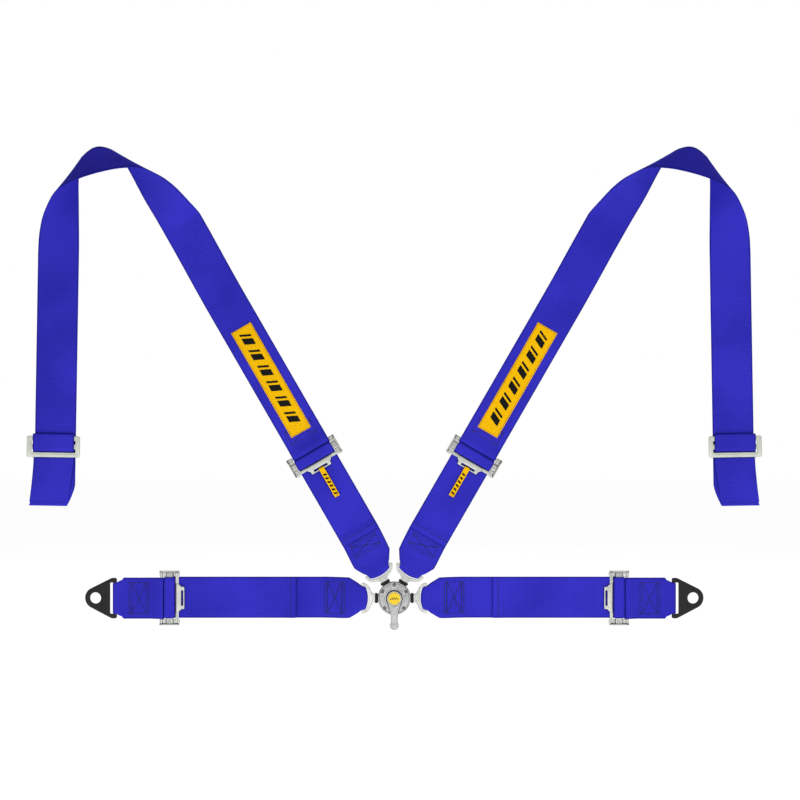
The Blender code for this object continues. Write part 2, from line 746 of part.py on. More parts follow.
def turn_station(p):
    """Centre and half-width vector in the turn, at a share p of the way, on smooth curves through TURN."""
    place = 1 + p * (len(TURN) - 3)
    i = min(int(place), len(TURN) - 3)
    t = place - i
    before, first, second, after = (Vector(row) for row in TURN[i - 1 : i + 3])
    bend = (2 * before - 5 * first + 4 * second - after) * t * t
    twist = (3 * first - before - 3 * second + after) * t * t * t
    x, z, far_x, far_z, lean = 0.5 * (2 * first + (second - before) * t + bend + twist)
    near = Vector((x, -STRAP_OUT, z))
    far = Vector((far_x, -STRAP_OUT - lean, far_z))
    return (near + far) / 2, (far - near) / 2


def tail_matrix():
    """The tail's frame on the right side: x down the tail from the slide's centre, z out."""
    angle = math.degrees(math.atan2(TAIL_AT[1] - TAIL_TOP[1], TAIL_AT[0] - TAIL_TOP[0]))
    return Matrix.Translation((TAIL_AT[0], -STRAP_OUT, TAIL_AT[1])) @ frame_matrix(angle)


def tail_length():
    return (Vector(TAIL_TOP) - Vector(TAIL_AT)).length


def skew(along, start=0.0):
    """How far outward the strap has run at a place below the slide."""
    t = (along - SLIDE_LENGTH / 2) / (LOOP_END - SLIDE_LENGTH / 2)
    return start + (LOOP_SKEW[1] - start) * max(t, 0)


def shoulder_strap():
    """Round the adjuster's rear bar, up to the turn, down the tail and round the lower fold."""
    bar = ADJUSTER_FRONT["shoulder"] + REAR_BAR
    behind = STRAP_OUT - PITCH
    path = [(UPPER_RETURN_END, behind), (bar + 0.024, behind)]
    path += ease(path[-1], (bar, REAR_BAR_OUT - REAR_LOOP), 6)
    path += arc((bar, REAR_BAR_OUT), REAR_LOOP, 270, 90, ROUND_STEPS)[1:]
    path += ease(path[-1], (bar + 0.024, STRAP_OUT), 6)
    path += [(0.48, STRAP_OUT), (0.62, STRAP_OUT), (0.66, STRAP_OUT), (0.70, STRAP_OUT), (0.74, STRAP_OUT)]
    stations = []
    for along, out in path:
        over = smooth((along - 0.62) / (TURN_BEGINS - 0.62))
        drift = UPPER_SHIFT + (TURN_SHIFT - UPPER_SHIFT) * over
        stations.append(((along, drift, out), (0, HALF_WIDTH, 0)))
    across = frame_matrix(60).inverted().to_3x3()
    for i in range(TURN_STEPS + 1):
        centre, half = turn_station(i / TURN_STEPS)
        stations.append((frame_matrix(60).inverted() @ centre, across @ half))
    down = frame_matrix(60).inverted() @ tail_matrix()
    for along, out in lower_fold():
        place = down @ Vector((along, skew(along), out))
        stations.append((place, down.to_3x3() @ Vector((0, HALF_WIDTH, 0))))
    return ribbon(stations, across=3)


def lower_fold():
    """(along, out) from above the slide down behind it and round the fold."""
    turn = LOOP_END - FOLD_RADIUS - THICKNESS / 2
    path = [(-tail_length() + 0.02, 0), (-0.05, 0), (SLIDE_LENGTH / 2, 0)]
    path += arc((turn, FOLD_RADIUS), FOLD_RADIUS, -90, 90, 8)
    return path + [(turn - 0.004, PITCH)]


def tail_return():
    """The front layer, from the fold up to the slide."""
    turn = LOOP_END - FOLD_RADIUS - THICKNESS / 2
    stations = []
    for along in (turn - 0.0043, SLIDE_LENGTH / 2 + 0.0015):
        stations.append(((along, skew(along, LOOP_SKEW[0]), PITCH), (0, HALF_WIDTH, 0)))
    return ribbon(stations, across=1)


def slide_plate_back():
    return PITCH + THICKNESS / 2 + GAP


def slide_wrap():
    """The strap's end: behind the lower bar, out through the slot, over two bars and behind."""
    back = slide_plate_back()
    front = back + SLIDE_THICKNESS
    over = front + GAP + THICKNESS / 2
    middle = (over + PITCH) / 2
    radius = (over - PITCH) / 2
    slot = (SLIDE_BAR + SLIDE_SLOT) / 2
    bend = ((0.0030, radius), (0.0018, 0.0020), (0.00075, 0.0007))
    path = [(SLIDE_LENGTH / 2 + 0.0012, PITCH)]
    path += [(slot + x, middle - z) for x, z in bend]
    path += [(slot - x, middle + z) for x, z in reversed(bend)]
    path += arc((-WRAP_TOP + 0.001, middle), radius, 90, 270, 8)
    path += [(-SLIDE_LENGTH / 2 + SLIDE_BAR, PITCH)]
    return level_ribbon(path, lambda along: HALF_WIDTH)


def three_bar_slide():
    back = slide_plate_back()
    half = SLIDE_LENGTH / 2
    outline = []
    corner = 0.003
    for x, y, first in ((1, 1, 90), (1, -1, 0), (-1, -1, -90), (-1, 1, -180)):
        centre = (x * (half - corner), y * (SLIDE_HALF_WIDTH - corner))
        outline += arc(centre, corner, first, first - 90, 4)
    plate = flat(outline, back, back + SLIDE_THICKNESS)
    slots = []
    for side in (-1, 1):
        edges = sorted((side * SLIDE_BAR / 2, side * (SLIDE_BAR / 2 + SLIDE_SLOT)))
        inner = HALF_WIDTH + 0.0025
        slots.append(box((edges[0], -inner, 0), (edges[1], inner, 0.02)))
    return beveled(cut(plate, *slots), 0.0005, 1)


def label():
    length, width, thickness = LABEL
    out = STRAP_OUT + THICKNESS / 2 + GAP
    mesh = box((-length / 2, -width / 2, out), (length / 2, width / 2, out + thickness))
    mesh.transform(Matrix.Translation((LABEL_AT, UPPER_SHIFT, 0)))
    return mesh


def pull_tab():
    """A narrow doubled strip that hangs from the lug's front bar."""
    length, width, thickness = PULL_TAB
    bar = ADJUSTER_FRONT["shoulder"] - LUG_LENGTH + 0.00125
    end = bar + PULL_LOOP - length
    half_pitch = (thickness + GAP) / 2
    path = [(end, LUG_OUT - half_pitch), (bar - 0.010, LUG_OUT - half_pitch)]
    path += ease(path[-1], (bar, LUG_OUT - PULL_LOOP), 4)
    path += arc((bar, LUG_OUT), PULL_LOOP, -90, 90, 8)[1:]
    path += ease(path[-1], (bar - 0.010, LUG_OUT + half_pitch), 4)
    path += [(end, LUG_OUT + half_pitch)]
    return level_ribbon(path, lambda along: width / 2, thickness)


def mirrored(mesh, frame):
    """The right side's mesh as the left side needs it, in the left belt's own frame."""
    to_world = frame_matrix(60)
    flip = Matrix.Diagonal((-1, 1, 1, 1))
    mesh.transform(frame.inverted() @ flip @ to_world)
    mesh.flip_normals()
    return mesh


def add_shoulder(name, frame, rear_axis):
    left = name.endswith("left")
    strap = shoulder_strap()
    tag = label()
    tail_frame = tail_matrix()
    inner = -1 if left else 1
    if left:
        strap = mirrored(strap, frame_matrix(120))
        tag = mirrored(tag, frame_matrix(120))
        tail_frame = left_tail_matrix()
    add_part(f"upper_strap_{name}", strap, "webbing_blue", frame, rear_axis)
    add_part(f"label_{name}", tag, "label_yellow", frame)
    bar = (ADJUSTER_FRONT["shoulder"] - LUG_LENGTH + 0.00125, 0, LUG_OUT)
    tab = shifted(pull_tab(), inner * FRAME_SHIFT["shoulder"])
    add_part(f"pull_tab_{name}", tab, "label_yellow", frame, bar)
    tail = new_frame(f"{name}_tail_frame", tail_frame)
    returning = tail_return()
    if left:
        returning.transform(Matrix.Diagonal((1, -1, 1, 1)))
        returning.flip_normals()
    add_part(f"tail_return_{name}", returning, "webbing_blue", tail)
    wrap = shifted(slide_wrap(), inner * SLIDE_SHIFT)
    slide = shifted(three_bar_slide(), inner * SLIDE_SHIFT)
    add_part(f"slide_wrap_{name}", wrap, "webbing_blue", tail)
    add_part(f"three_bar_slide_{name}", slide, "zinc_silver", tail)


def left_tail_matrix():
    """The right tail's frame mirrored across the middle, kept right-handed by turning y over."""
    flip = Matrix.Diagonal((-1, 1, 1, 1))
    return flip @ tail_matrix() @ Matrix.Diagonal((1, -1, 1, 1))


def put_pad_on_origin():
    """Moves every frame so that the back of the buckle's pad is at y = 0."""
    for frame in PARTS.objects:
        if frame.parent is None:
            frame.location.y += PAD_BACK


clear_scene()
PARTS = new_collection("racing_harness")
CUTTERS = new_collection("cutters")
make_materials()
add_buckle()
for belt, (belt_angle, belt_kind) in BELTS.items():
    add_belt(belt, belt_angle, belt_kind)
put_pad_on_origin()
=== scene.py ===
"""The looks of a four-point racing harness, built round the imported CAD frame.

Each belt has its own frame, read from the record's joints: x runs out along the belt from the
buckle's axis, y across it and z out of its front. Comments call these along, across and out.
"""

import json
import math

import bmesh
import bpy
import numpy as np
from mathutils import Matrix, Vector, noise

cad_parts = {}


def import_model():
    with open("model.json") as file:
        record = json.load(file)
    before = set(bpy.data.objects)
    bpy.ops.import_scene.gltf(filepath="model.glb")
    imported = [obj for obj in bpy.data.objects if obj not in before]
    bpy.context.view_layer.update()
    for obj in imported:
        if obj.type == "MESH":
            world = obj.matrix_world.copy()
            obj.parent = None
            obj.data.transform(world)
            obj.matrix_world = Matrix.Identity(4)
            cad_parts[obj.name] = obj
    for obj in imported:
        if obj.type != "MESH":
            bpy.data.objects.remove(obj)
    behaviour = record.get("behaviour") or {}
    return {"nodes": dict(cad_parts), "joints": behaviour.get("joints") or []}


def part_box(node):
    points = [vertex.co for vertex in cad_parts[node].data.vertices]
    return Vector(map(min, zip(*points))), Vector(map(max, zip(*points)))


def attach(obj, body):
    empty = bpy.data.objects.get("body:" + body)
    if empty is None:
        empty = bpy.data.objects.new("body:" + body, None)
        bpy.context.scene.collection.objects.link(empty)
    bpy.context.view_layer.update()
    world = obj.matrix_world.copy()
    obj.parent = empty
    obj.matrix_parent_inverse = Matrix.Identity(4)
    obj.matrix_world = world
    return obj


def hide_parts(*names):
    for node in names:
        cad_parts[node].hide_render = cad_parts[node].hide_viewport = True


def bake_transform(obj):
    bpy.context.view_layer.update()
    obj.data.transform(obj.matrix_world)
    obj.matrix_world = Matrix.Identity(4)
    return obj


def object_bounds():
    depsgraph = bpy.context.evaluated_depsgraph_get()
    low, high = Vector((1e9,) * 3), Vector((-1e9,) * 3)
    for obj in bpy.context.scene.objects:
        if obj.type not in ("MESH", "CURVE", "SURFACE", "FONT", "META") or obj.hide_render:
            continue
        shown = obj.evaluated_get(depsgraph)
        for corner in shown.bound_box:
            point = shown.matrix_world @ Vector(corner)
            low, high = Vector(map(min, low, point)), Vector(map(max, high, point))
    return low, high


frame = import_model()
CAD_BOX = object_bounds()
NODES = frame["nodes"]
JOINTS = {joint["name"]: joint for joint in frame["joints"]}
BELTS = ("lap_right", "shoulder_right", "shoulder_left", "lap_left")
TONGUE_PLANE = JOINTS["tongue_pivot_lap_right"]["pos_m"][1]  # its y in the harness

# Webbing, in metres.
HALF_WIDTH = 0.0375
THICKNESS = 0.0020
PITCH = 0.0023  # from one layer's middle to the next one's
STATION = 0.004  # longest stretch between two stations of a strap
SELVEDGE = 0.003
HEM = 0.0115  # how far the tail's end is turned under

# Stitching.
STITCH_PITCH = 0.0032
STITCH_LENGTH = 0.0027
STITCH_RADIUS = 0.00068
STITCH_SIDES = 6

# Sizes that the tongue, adjuster and slide share with their CAD solids.
TONGUE_LOOP = 0.00465
TAPER_END = 0.084
REAR_BAR = 0.034
REAR_LOOP = 0.0042
STRAP_OUT = 0.003
BEHIND = STRAP_OUT - PITCH
BAR_RUN = 0.024  # from the rear bar's axis to where the strap round it lies flat
ANCHOR_LOOP = 0.0042
DRIFT = (0.062, 0.137)  # where a belt leaves the tongue's middle line, and where it has come over
NOSE_BOW = 0.0043  # how much further back the webbing lies at its corners, round the tongue's bar
NARROW_HALF = 0.0206  # in the tongue
SLIDE_SHIFT = 0.0028  # from the tail's middle to the slide's, to the outside
TURN_SHIFT = 0.0065  # the upper strap's middle to the inner side, where the turn begins
TURN_BEGINS = 0.7852


# ---------------------------------------------------------------- places


def belt_matrix(belt):
    """From a belt's own frame to the harness's."""
    along = Vector(JOINTS[f"tongue_release_{belt}"]["axis"])
    across = Vector(JOINTS[f"tongue_pivot_{belt}"]["axis"])
    rotation = Matrix((along, across, along.cross(across))).transposed().to_4x4()
    return Matrix.Translation((0, TONGUE_PLANE, 0)) @ rotation


def joint_place(name, matrix):
    """A hinge's place in a belt's frame."""
    return matrix.inverted() @ Vector(JOINTS[name]["pos_m"])


def local_box(node, matrix):
    """Lowest and highest corner of a CAD node in a belt's frame."""
    back = np.array(matrix.inverted())[:3]
    points = np.array([vert.co for vert in NODES[node].data.vertices])
    places = points @ back[:, :3].T + back[:, 3]
    return Vector(places.min(0)), Vector(places.max(0))


def middle_across(node, matrix):
    low, high = local_box(node, matrix)
    return (low.y + high.y) / 2


def outer(belt):
    """1 where a tail's y axis points to the outside, -1 where it points in."""
    return -1 if belt.endswith("left") else 1


def tail_matrix(belt):
    """The frame of a shoulder tail: x down it from the slide's height, z out, y to the outside or in."""
    down = Vector(JOINTS[f"slide_shift_{belt}"]["axis"])
    out = Vector((0, -1, 0))
    across = out.cross(down)
    low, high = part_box(f"three_bar_slide_{belt}")
    centre = (low + high) / 2 - across * outer(belt) * SLIDE_SHIFT
    centre.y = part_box(f"slide_wrap_{belt}")[1].y + PITCH - THICKNESS / 2
    return Matrix.Translation(centre) @ Matrix((down, across, out)).transposed().to_4x4()


# ---------------------------------------------------------------- curves


def arc(centre, radius, first, last, steps):
    """Points on an arc, angles in degrees."""
    angles = [math.radians(first + (last - first) * i / steps) for i in range(steps + 1)]
    return [(centre[0] + radius * math.cos(a), centre[1] + radius * math.sin(a)) for a in angles]


def smooth(t):
    t = min(max(t, 0), 1)
    return t * t * (3 - 2 * t)


def ease(first, last, steps=10):
    """Points from first to last that leave and arrive level, without the first."""
    points = []
    for i in range(1, steps + 1):
        t = i / steps
        along = first[0] + (last[0] - first[0]) * t
        points.append((along, first[1] + (last[1] - first[1]) * smooth(t)))
    return points


def rounded(corners, radius, steps=5, closed=True):
    """An outline with its corners rounded, by one radius or one for each; an open one keeps its ends."""
    radii = radius if isinstance(radius, (list, tuple)) else [radius] * len(corners)
    outline = []
    last = len(corners) - 1
    for i, (corner, size) in enumerate(zip(corners, radii)):
        if size == 0 or not closed and i in (0, last):
            outline.append(tuple(corner))
            continue
        here = Vector(corner)
        back = (Vector(corners[i - 1]) - here).normalized()
        ahead = (Vector(corners[(i + 1) % len(corners)]) - here).normalized()
        reach = size / math.tan(back.angle(ahead) / 2)
        start = here + back * reach
        end = here + ahead * reach
        for k in range(steps + 1):
            t = k / steps
            outline.append(tuple(start * (1 - t) ** 2 + here * 2 * t * (1 - t) + end * t * t))
    return outline


def mirrored(half):
    """An outline closed by its mirror image across y = 0."""
    return half + [(x, -y) for x, y in reversed(half) if y > 1e-6]


def rectangle(low_x, low_y, high_x, high_y):
    return [(low_x, low_y), (high_x, low_y), (high_x, high_y), (low_x, high_y)]


def dense(rows, longest):
    """The same rows of numbers with more between two whose places, up to three numbers, lie far apart."""
    result = [rows[0]]
    for before, after in zip(rows, rows[1:]):
        pieces = max(1, math.ceil(math.dist(before[:3], after[:3]) / longest))
        for k in range(1, pieces + 1):
            t = k / pieces
            result.append(tuple(a + (b - a) * t for a, b in zip(before, after)))
    return result


def dense_outline(outline, longest):
    return dense(outline + outline[:1], longest)[:-1]


# ---------------------------------------------------------------- meshes


def mesh_from(bm):
    bmesh.ops.recalc_face_normals(bm, faces=bm.faces)
    mesh = bpy.data.meshes.new("shape")
    bm.to_mesh(mesh)
    bm.free()
    return mesh


def plate(outlines, low, high, rounding):
    """A flat plate with rounded edges, from z low to z high. Outlines after the first are holes."""
    data = bpy.data.curves.new("plate", "CURVE")
    data.dimensions = "2D"
    data.fill_mode = "BOTH"
    data.extrude = (high - low) / 2 - rounding
    data.bevel_depth = rounding
    data.bevel_resolution = 2
    data.offset = -rounding
    for outline in outlines:
        spline = data.splines.new("POLY")
        spline.points.add(len(outline) - 1)
        for point, (x, y) in zip(spline.points, outline):
            point.co = (x, y, 0, 1)
        spline.use_cyclic_u = True
    helper = bpy.data.objects.new("plate", data)
    bpy.context.scene.collection.objects.link(helper)
    graph = bpy.context.evaluated_depsgraph_get()
    mesh = bpy.data.meshes.new_from_object(helper.evaluated_get(graph))
    bpy.data.objects.remove(helper)
    bm = bmesh.new()
    bm.from_mesh(mesh)
    bmesh.ops.remove_doubles(bm, verts=bm.verts, dist=1e-6)
    bmesh.ops.translate(bm, verts=bm.verts, vec=(0, 0, (low + high) / 2))
    return mesh_from(bm)


def ring(bm, centre, first, second, steps):
    """Vertices round centre; first and second are radii a quarter turn apart."""
    turns = [2 * math.pi * k / steps for k in range(steps)]
    return [bm.verts.new(centre + first * math.cos(turn) + second * math.sin(turn)) for turn in turns]


def skin(bm, rings, capped=True):
    """Faces between rings of vertices, where a ring of one vertex is a tip, and over both ends."""
    steps = max(len(corners) for corners in rings)
    for first, second in zip(rings, rings[1:]):
        for k in range(steps):
            corners = [first[k % len(first)], first[(k + 1) % len(first)]]
            corners += [second[(k + 1) % len(second)], second[k % len(second)]]
            unique = list(dict.fromkeys(corners))
            if len(unique) > 2:
                bm.faces.new(unique)
    if capped:
        bm.faces.new(rings[0])
        bm.faces.new(rings[-1])


def lathe(profile, steps=72, centre=(0, 0)):
    """A turned shape: (radius, z) points from the axis at the front, outward and back."""
    bm = bmesh.new()
    rings = []
    for radius, z in profile:
        middle = Vector((*centre, z))
        if radius < 1e-7:
            rings.append([bm.verts.new(middle)])
        else:
            rings.append(ring(bm, middle, Vector((radius, 0, 0)), Vector((0, radius, 0)), steps))
    skin(bm, rings, capped=False)
    return mesh_from(bm)


def bar(points, radius, sides=12):
    """A round rod along a line of 3-D points, with closed ends."""
    bm = bmesh.new()
    rings = []
    for i, place in enumerate(points):
        ahead = Vector(points[min(i + 1, len(points) - 1)]) - Vector(points[max(i - 1, 0)])
        turn = ahead.to_track_quat("Z", "Y")
        first, second = turn @ Vector((radius, 0, 0)), turn @ Vector((0, radius, 0))
        rings.append(ring(bm, Vector(place), first, second, sides))
    skin(bm, rings)
    return mesh_from(bm)


def turned(mesh, angle, axis="Z"):
    mesh.transform(Matrix.Rotation(math.radians(angle), 4, axis))
    return mesh


def moved(mesh, x=0, y=0, z=0):
    mesh.transform(Matrix.Translation((x, y, z)))
    return mesh


def cut(mesh, tools):
    """The mesh with the tools' volumes taken away."""
    target = bpy.data.objects.new("target", mesh)
    bpy.context.scene.collection.objects.link(target)
    helpers = [target]
    for tool in tools:
        helper = bpy.data.objects.new("tool", tool)
        bpy.context.scene.collection.objects.link(helper)
        helpers.append(helper)
        modifier = target.modifiers.new("cut", "BOOLEAN")
        modifier.object = helper
        modifier.solver = "EXACT"
    graph = bpy.context.evaluated_depsgraph_get()
    result = bpy.data.meshes.new_from_object(target.evaluated_get(graph))
    for helper in helpers:
        bpy.data.objects.remove(helper)
    return result


def coat(mesh, material):
    """Gives a mesh its material, and smooth faces with sharp edges where they meet steeply."""
    mesh.materials.clear()
    mesh.materials.append(material)
    mesh.shade_smooth()
    mesh.set_sharp_from_angle(angle=math.radians(35))


def piece(name, meshes, finish, body, matrix, replaces=None):
    """One object made of several meshes drawn in the frame that matrix gives; finish is material and slot,
    and the slot is not used.
    """
    material, slot = finish
    bm = bmesh.new()
    for mesh in meshes:
        bm.from_mesh(mesh)
    whole = bpy.data.meshes.new(name)
    bm.to_mesh(whole)
    bm.free()
    whole.transform(matrix)
    coat(whole, material)
    made = bpy.data.objects.new(name, whole)
    bpy.context.scene.collection.objects.link(made)
    if body:
        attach(made, body)
    if replaces:
        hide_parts(replaces)
    return made


# ---------------------------------------------------------------- straps


def wobble(place):
    """Unevenness of the cloth, the same for layers that lie on each other."""
    slow = noise.noise(Vector(place) * 14)
    quick = noise.noise(Vector(place) * 55 + Vector((7, 3, 1)))
    return 0.00022 * slow + 0.00007 * quick


def section(half_width, thickness, columns):
    """(across, out) points round a strap's section, with round edges."""
    radius = thickness / 2
    flat = half_width - radius
    top = [(-flat + 2 * flat * k / columns, radius) for k in range(columns + 1)]
    right = [(flat + radius * math.cos(a), radius * math.sin(a)) for a in (0.8, 0, -0.8)]
    return top + right + [(x, -z) for x, z in reversed(top)] + [(-x, -z) for x, z in right]


def strap_mesh(stations, matrix, thickness=THICKNESS, columns=12):
    """A strap through stations of (centre, half-width vector), with its weave's place as a UV map."""
    rows = dense([(*centre, *half) for centre, half in stations], STATION)
    centres = [Vector(row[:3]) for row in rows]
    bm = bmesh.new()
    weave = bm.loops.layers.uv.new("weave")
    rings = []
    run = 0
    for i, centre in enumerate(centres):
        half = Vector(rows[i][3:])
        unit = half.normalized()
        ahead = centres[min(i + 1, len(centres) - 1)] - centres[max(i - 1, 0)]
        normal = ahead.cross(half).normalized()
        run += (centre - centres[i - 1]).length if i else 0
        rise = wobble(matrix @ centre)
        corners = []
        for across, out in section(half.length, thickness, columns):
            vert = bm.verts.new(centre + unit * across + normal * (out + rise))
            corners.append((vert, (run, across)))
        rings.append(corners)
    faces = []
    count = len(rings[0])
    for first, second in zip(rings, rings[1:]):
        for k in range(count):
            faces.append([first[k], first[(k + 1) % count], second[(k + 1) % count], second[k]])
    for corners in faces + [rings[0], rings[-1]]:
        face = bm.faces.new([vert for vert, place in corners])
        for loop, (vert, place) in zip(face.loops, corners):
            loop[weave].uv = place
    return mesh_from(bm)


def level(path, half_width=lambda along: HALF_WIDTH, drift=lambda along: 0):
    """Stations along a path of (along, out) points; half_width and drift depend on the place along it."""
    return [((along, drift(along), out), (0, half_width(along), 0)) for along, out in path]


def round_bar(start, place):
    """The path of a strap sewn back behind itself from start, up round the adjuster's rear bar."""
    path = [(start, BEHIND), (place.x + BAR_RUN, BEHIND)]
    path += ease(path[-1], (place.x, place.z - REAR_LOOP), 12)
    path += arc((place.x, place.z), REAR_LOOP, 270, 90, 20)[1:]
    return path + ease(path[-1], (place.x + BAR_RUN, STRAP_OUT), 12)


# ---------------------------------------------------------------- stitching


def stitch_run(points):
    """Stitches along a line through 3-D points, each with the cloth's normal: (middle, along, normal)."""
    stitches = []
    for (first, normal), (second, _) in zip(points, points[1:]):
        first, second = Vector(first), Vector(second)
        length = (second - first).length
        count = max(1, round(length / STITCH_PITCH))
        for k in range(count):
            centre = first.lerp(second, (k + 0.5) / count)
            stitches.append((centre, (second - first) / length, Vector(normal)))
    return stitches


def flat_lines(lines, out):
    """Stitches along (along, across) lines on a flat strap's face at height out."""
    stitches = []
    for line in lines:
        stitches += stitch_run([((x, y, out), (0, 0, 1)) for x, y in line])
    return stitches


def both_faces(lines, front, back):
    """Stitches along the lines on a strap's face at height front, and on the one behind it at back."""
    stitches = flat_lines(lines, front)
    return stitches + [(Vector((m.x, m.y, back)), a, Vector((0, 0, -1))) for m, a, normal in stitches]


def box_and_cross(start, end, half):
    """The lines of a sewn box with a cross in it, doubled across both ends."""
    inner = 0.0045
    a, b = start + inner, end - inner
    box = rectangle(start, -half, end, half)
    lines = [box + box[:1], [(a, -half), (a, half)], [(b, -half), (b, half)]]
    return lines + [[(a, -half), (b, half)], [(a, half), (b, -half)]]


def sew(name, stitches, finish, body, matrix):
    """A piece of short plump threads that dip into the cloth at both ends."""
    bm = bmesh.new()
    shares = ((-0.5, 0.25), (-0.3, 0.9), (0.0, 1.0), (0.3, 0.9), (0.5, 0.25))
    for middle, along, normal in stitches:
        side = normal.cross(along)
        base = middle + normal * wobble(matrix @ middle)
        rings = []
        for share, size in shares:
            dip = normal * STITCH_RADIUS * (0.35 - 4.5 * share * share)
            reach = STITCH_RADIUS * size
            centre = base + along * STITCH_LENGTH * share + dip
            rings.append(ring(bm, centre, side * reach, normal * reach, STITCH_SIDES))
        skin(bm, rings)
    piece(name, [mesh_from(bm)], finish, body, matrix)


# ---------------------------------------------------------------- materials


class Graph:
    """The nodes of a material or of the world, and short ways to add to them."""

    def __init__(self, owner):
        owner.use_nodes = True
        self.owner = owner
        self.tree = owner.node_tree

    def set(self, name, value):
        self.connect(value, self.tree.nodes["Principled BSDF"].inputs[name])

    def connect(self, value, socket):
        if isinstance(value, bpy.types.NodeSocket):
            self.tree.links.new(value, socket)
        else:
            socket.default_value = value

    def add(self, kind, settings=None, **inputs):
        node = self.tree.nodes.new(kind)
        for key, value in (settings or {}).items():
            setattr(node, key, value)
        for key, value in inputs.items():
            self.connect(value, node.inputs[key.replace("_", " ")])
        return node

    def first_output(self, kind, settings, *values):
        """The first output of a node whose first inputs have these values."""
        node = self.add(kind, settings)
        for value, socket in zip(values, node.inputs):
            self.connect(value, socket)
        return node.outputs[0]

    def math(self, operation, *values):
        return self.first_output("ShaderNodeMath", {"operation": operation}, *values)

    def total(self, *terms):
        """The sum of values, each with its weight."""
        result = 0.0
        for value, weight in terms:
            result = self.math("MULTIPLY_ADD", value, weight, result)
        return result

    def mix(self, share, first, second, blend="MIX"):
        settings = {"data_type": "RGBA", "blend_type": blend}
        return self.add("ShaderNodeMix", settings, Factor=share, A=first, B=second).outputs["Result"]

    def between(self, value, low, high, first=0.0, last=1.0):
        """Runs smoothly from first to last as the value goes from low to high."""
        settings = {"interpolation_type": "SMOOTHSTEP"}
        return self.first_output("ShaderNodeMapRange", settings, value, low, high, first, last)

    def noise(self, scale, detail=3.0, stretch=None):
        vector = self.add("ShaderNodeTexCoord").outputs["Object"]
        if stretch:
            vector = self.add("ShaderNodeMapping", Vector=vector, Scale=stretch).outputs[0]
        return self.add("ShaderNodeTexNoise", Vector=vector, Scale=scale, Detail=detail).outputs["Fac"]

    def blotches(self, scale, detail):
        return self.between(self.noise(scale, detail), 0.3, 0.7)

    def rubbed_edge(self, low, high):
        """1 on the part's outward edges."""
        return self.between(self.add("ShaderNodeNewGeometry").outputs["Pointiness"], low, high)

    def painted_crease_shade(self, shade, reach, depth):
        """The shade, with painted crease shade: darker where other surfaces stand within reach."""
        open_share = self.add("ShaderNodeAmbientOcclusion", {"samples": 8}, Distance=reach).outputs["AO"]
        return self.mix(1.0, shade, self.between(open_share, 0.35, 0.95, depth, 1.0), "MULTIPLY")

    def bump(self, height, distance):
        self.set("Normal", self.add("ShaderNodeBump", Height=height, Distance=distance).outputs[0])


def new_material(name):
    return Graph(bpy.data.materials.new(name))


def shaded(base, factor, lift=0.0):
    """A colour made darker or lighter."""
    return tuple(min(1, factor * value + lift) for value in base[:3]) + (1,)


def colour(red, green, blue):
    """A linear colour from the values of a screen colour, 0 to 255."""
    def linear(value):
        share = value / 255
        return share / 12.92 if share <= 0.04045 else ((share + 0.055) / 1.055) ** 2.4
    return (linear(red), linear(green), linear(blue), 1)


def woven(name, light, dark, rib, column, half_width=None, sheen=0.04, depth=0.00016):
    """Cloth whose ribs cross the strap and step sideways from column to column, with painted shade in its
    grooves and creases.
    """
    g = new_material(name)
    place = g.add("ShaderNodeSeparateXYZ", Vector=g.add("ShaderNodeUVMap", {"uv_map": "weave"}).outputs[0])
    along, across = place.outputs[0], place.outputs[1]
    step = g.math("PINGPONG", g.math("DIVIDE", across, column), 1.0)
    phase = g.total((along, 1 / rib), (step, 0.5))
    ribs = g.math("MULTIPLY_ADD", g.math("SINE", g.math("MULTIPLY", phase, 2 * math.pi)), 0.5, 0.5)
    cord_turn = g.math("MULTIPLY", across, 4 * math.pi / column)
    cords = g.math("MULTIPLY_ADD", g.math("SINE", cord_turn), 0.5, 0.5)
    fibre = g.noise(900.0, 2.0)
    height = [(ribs, 0.65), (cords, 0.3), (fibre, 0.25)]
    # Tone from the dark colour to the light one: darker in the grooves between ribs and between cords, which
    # is painted shade, with random blotches.
    shade = [(ribs, 0.5), (cords, 0.2), (g.blotches(9.0, 4.0), 0.3)]
    if half_width:
        inset = g.math("SUBTRACT", half_width, g.math("ABSOLUTE", across))
        band = g.between(inset, SELVEDGE - 0.0004, SELVEDGE, 1.0, 0.0)
        from_groove = g.math("ABSOLUTE", g.math("SUBTRACT", inset, SELVEDGE))
        groove = g.between(from_groove, 0.0, 0.0006, 1.0, 0.0)
        shade += [(band, -0.45), (groove, 0.25)]
        height += [(groove, -0.7)]
    # Painted shade in creases, where other surfaces stand within 6 mm.
    g.set("Base Color", g.painted_crease_shade(g.mix(g.total(*shade), dark, light), 0.006, 0.42))
    g.set("Roughness", g.between(g.total((fibre, 1.0), (ribs, 0.3)), 0.2, 1.2, 0.84, 0.66))
    g.set("Sheen Weight", sheen)
    g.set("Sheen Roughness", 0.45)
    g.set("Sheen Tint", light)
    g.set("Specular IOR Level", 0.12)
    g.bump(g.total(*height), depth)
    return g.owner


def thread(name, base):
    """Twisted sewing thread."""
    g = new_material(name)
    twist = g.noise(2600.0, 1.0, (1.0, 1.0, 3.0))
    g.set("Base Color", g.mix(g.between(twist, 0.35, 0.65), shaded(base, 0.6), base))
    g.set("Roughness", 0.55)
    g.set("Sheen Weight", 0.2)
    g.bump(twist, 0.0001)
    return g.owner


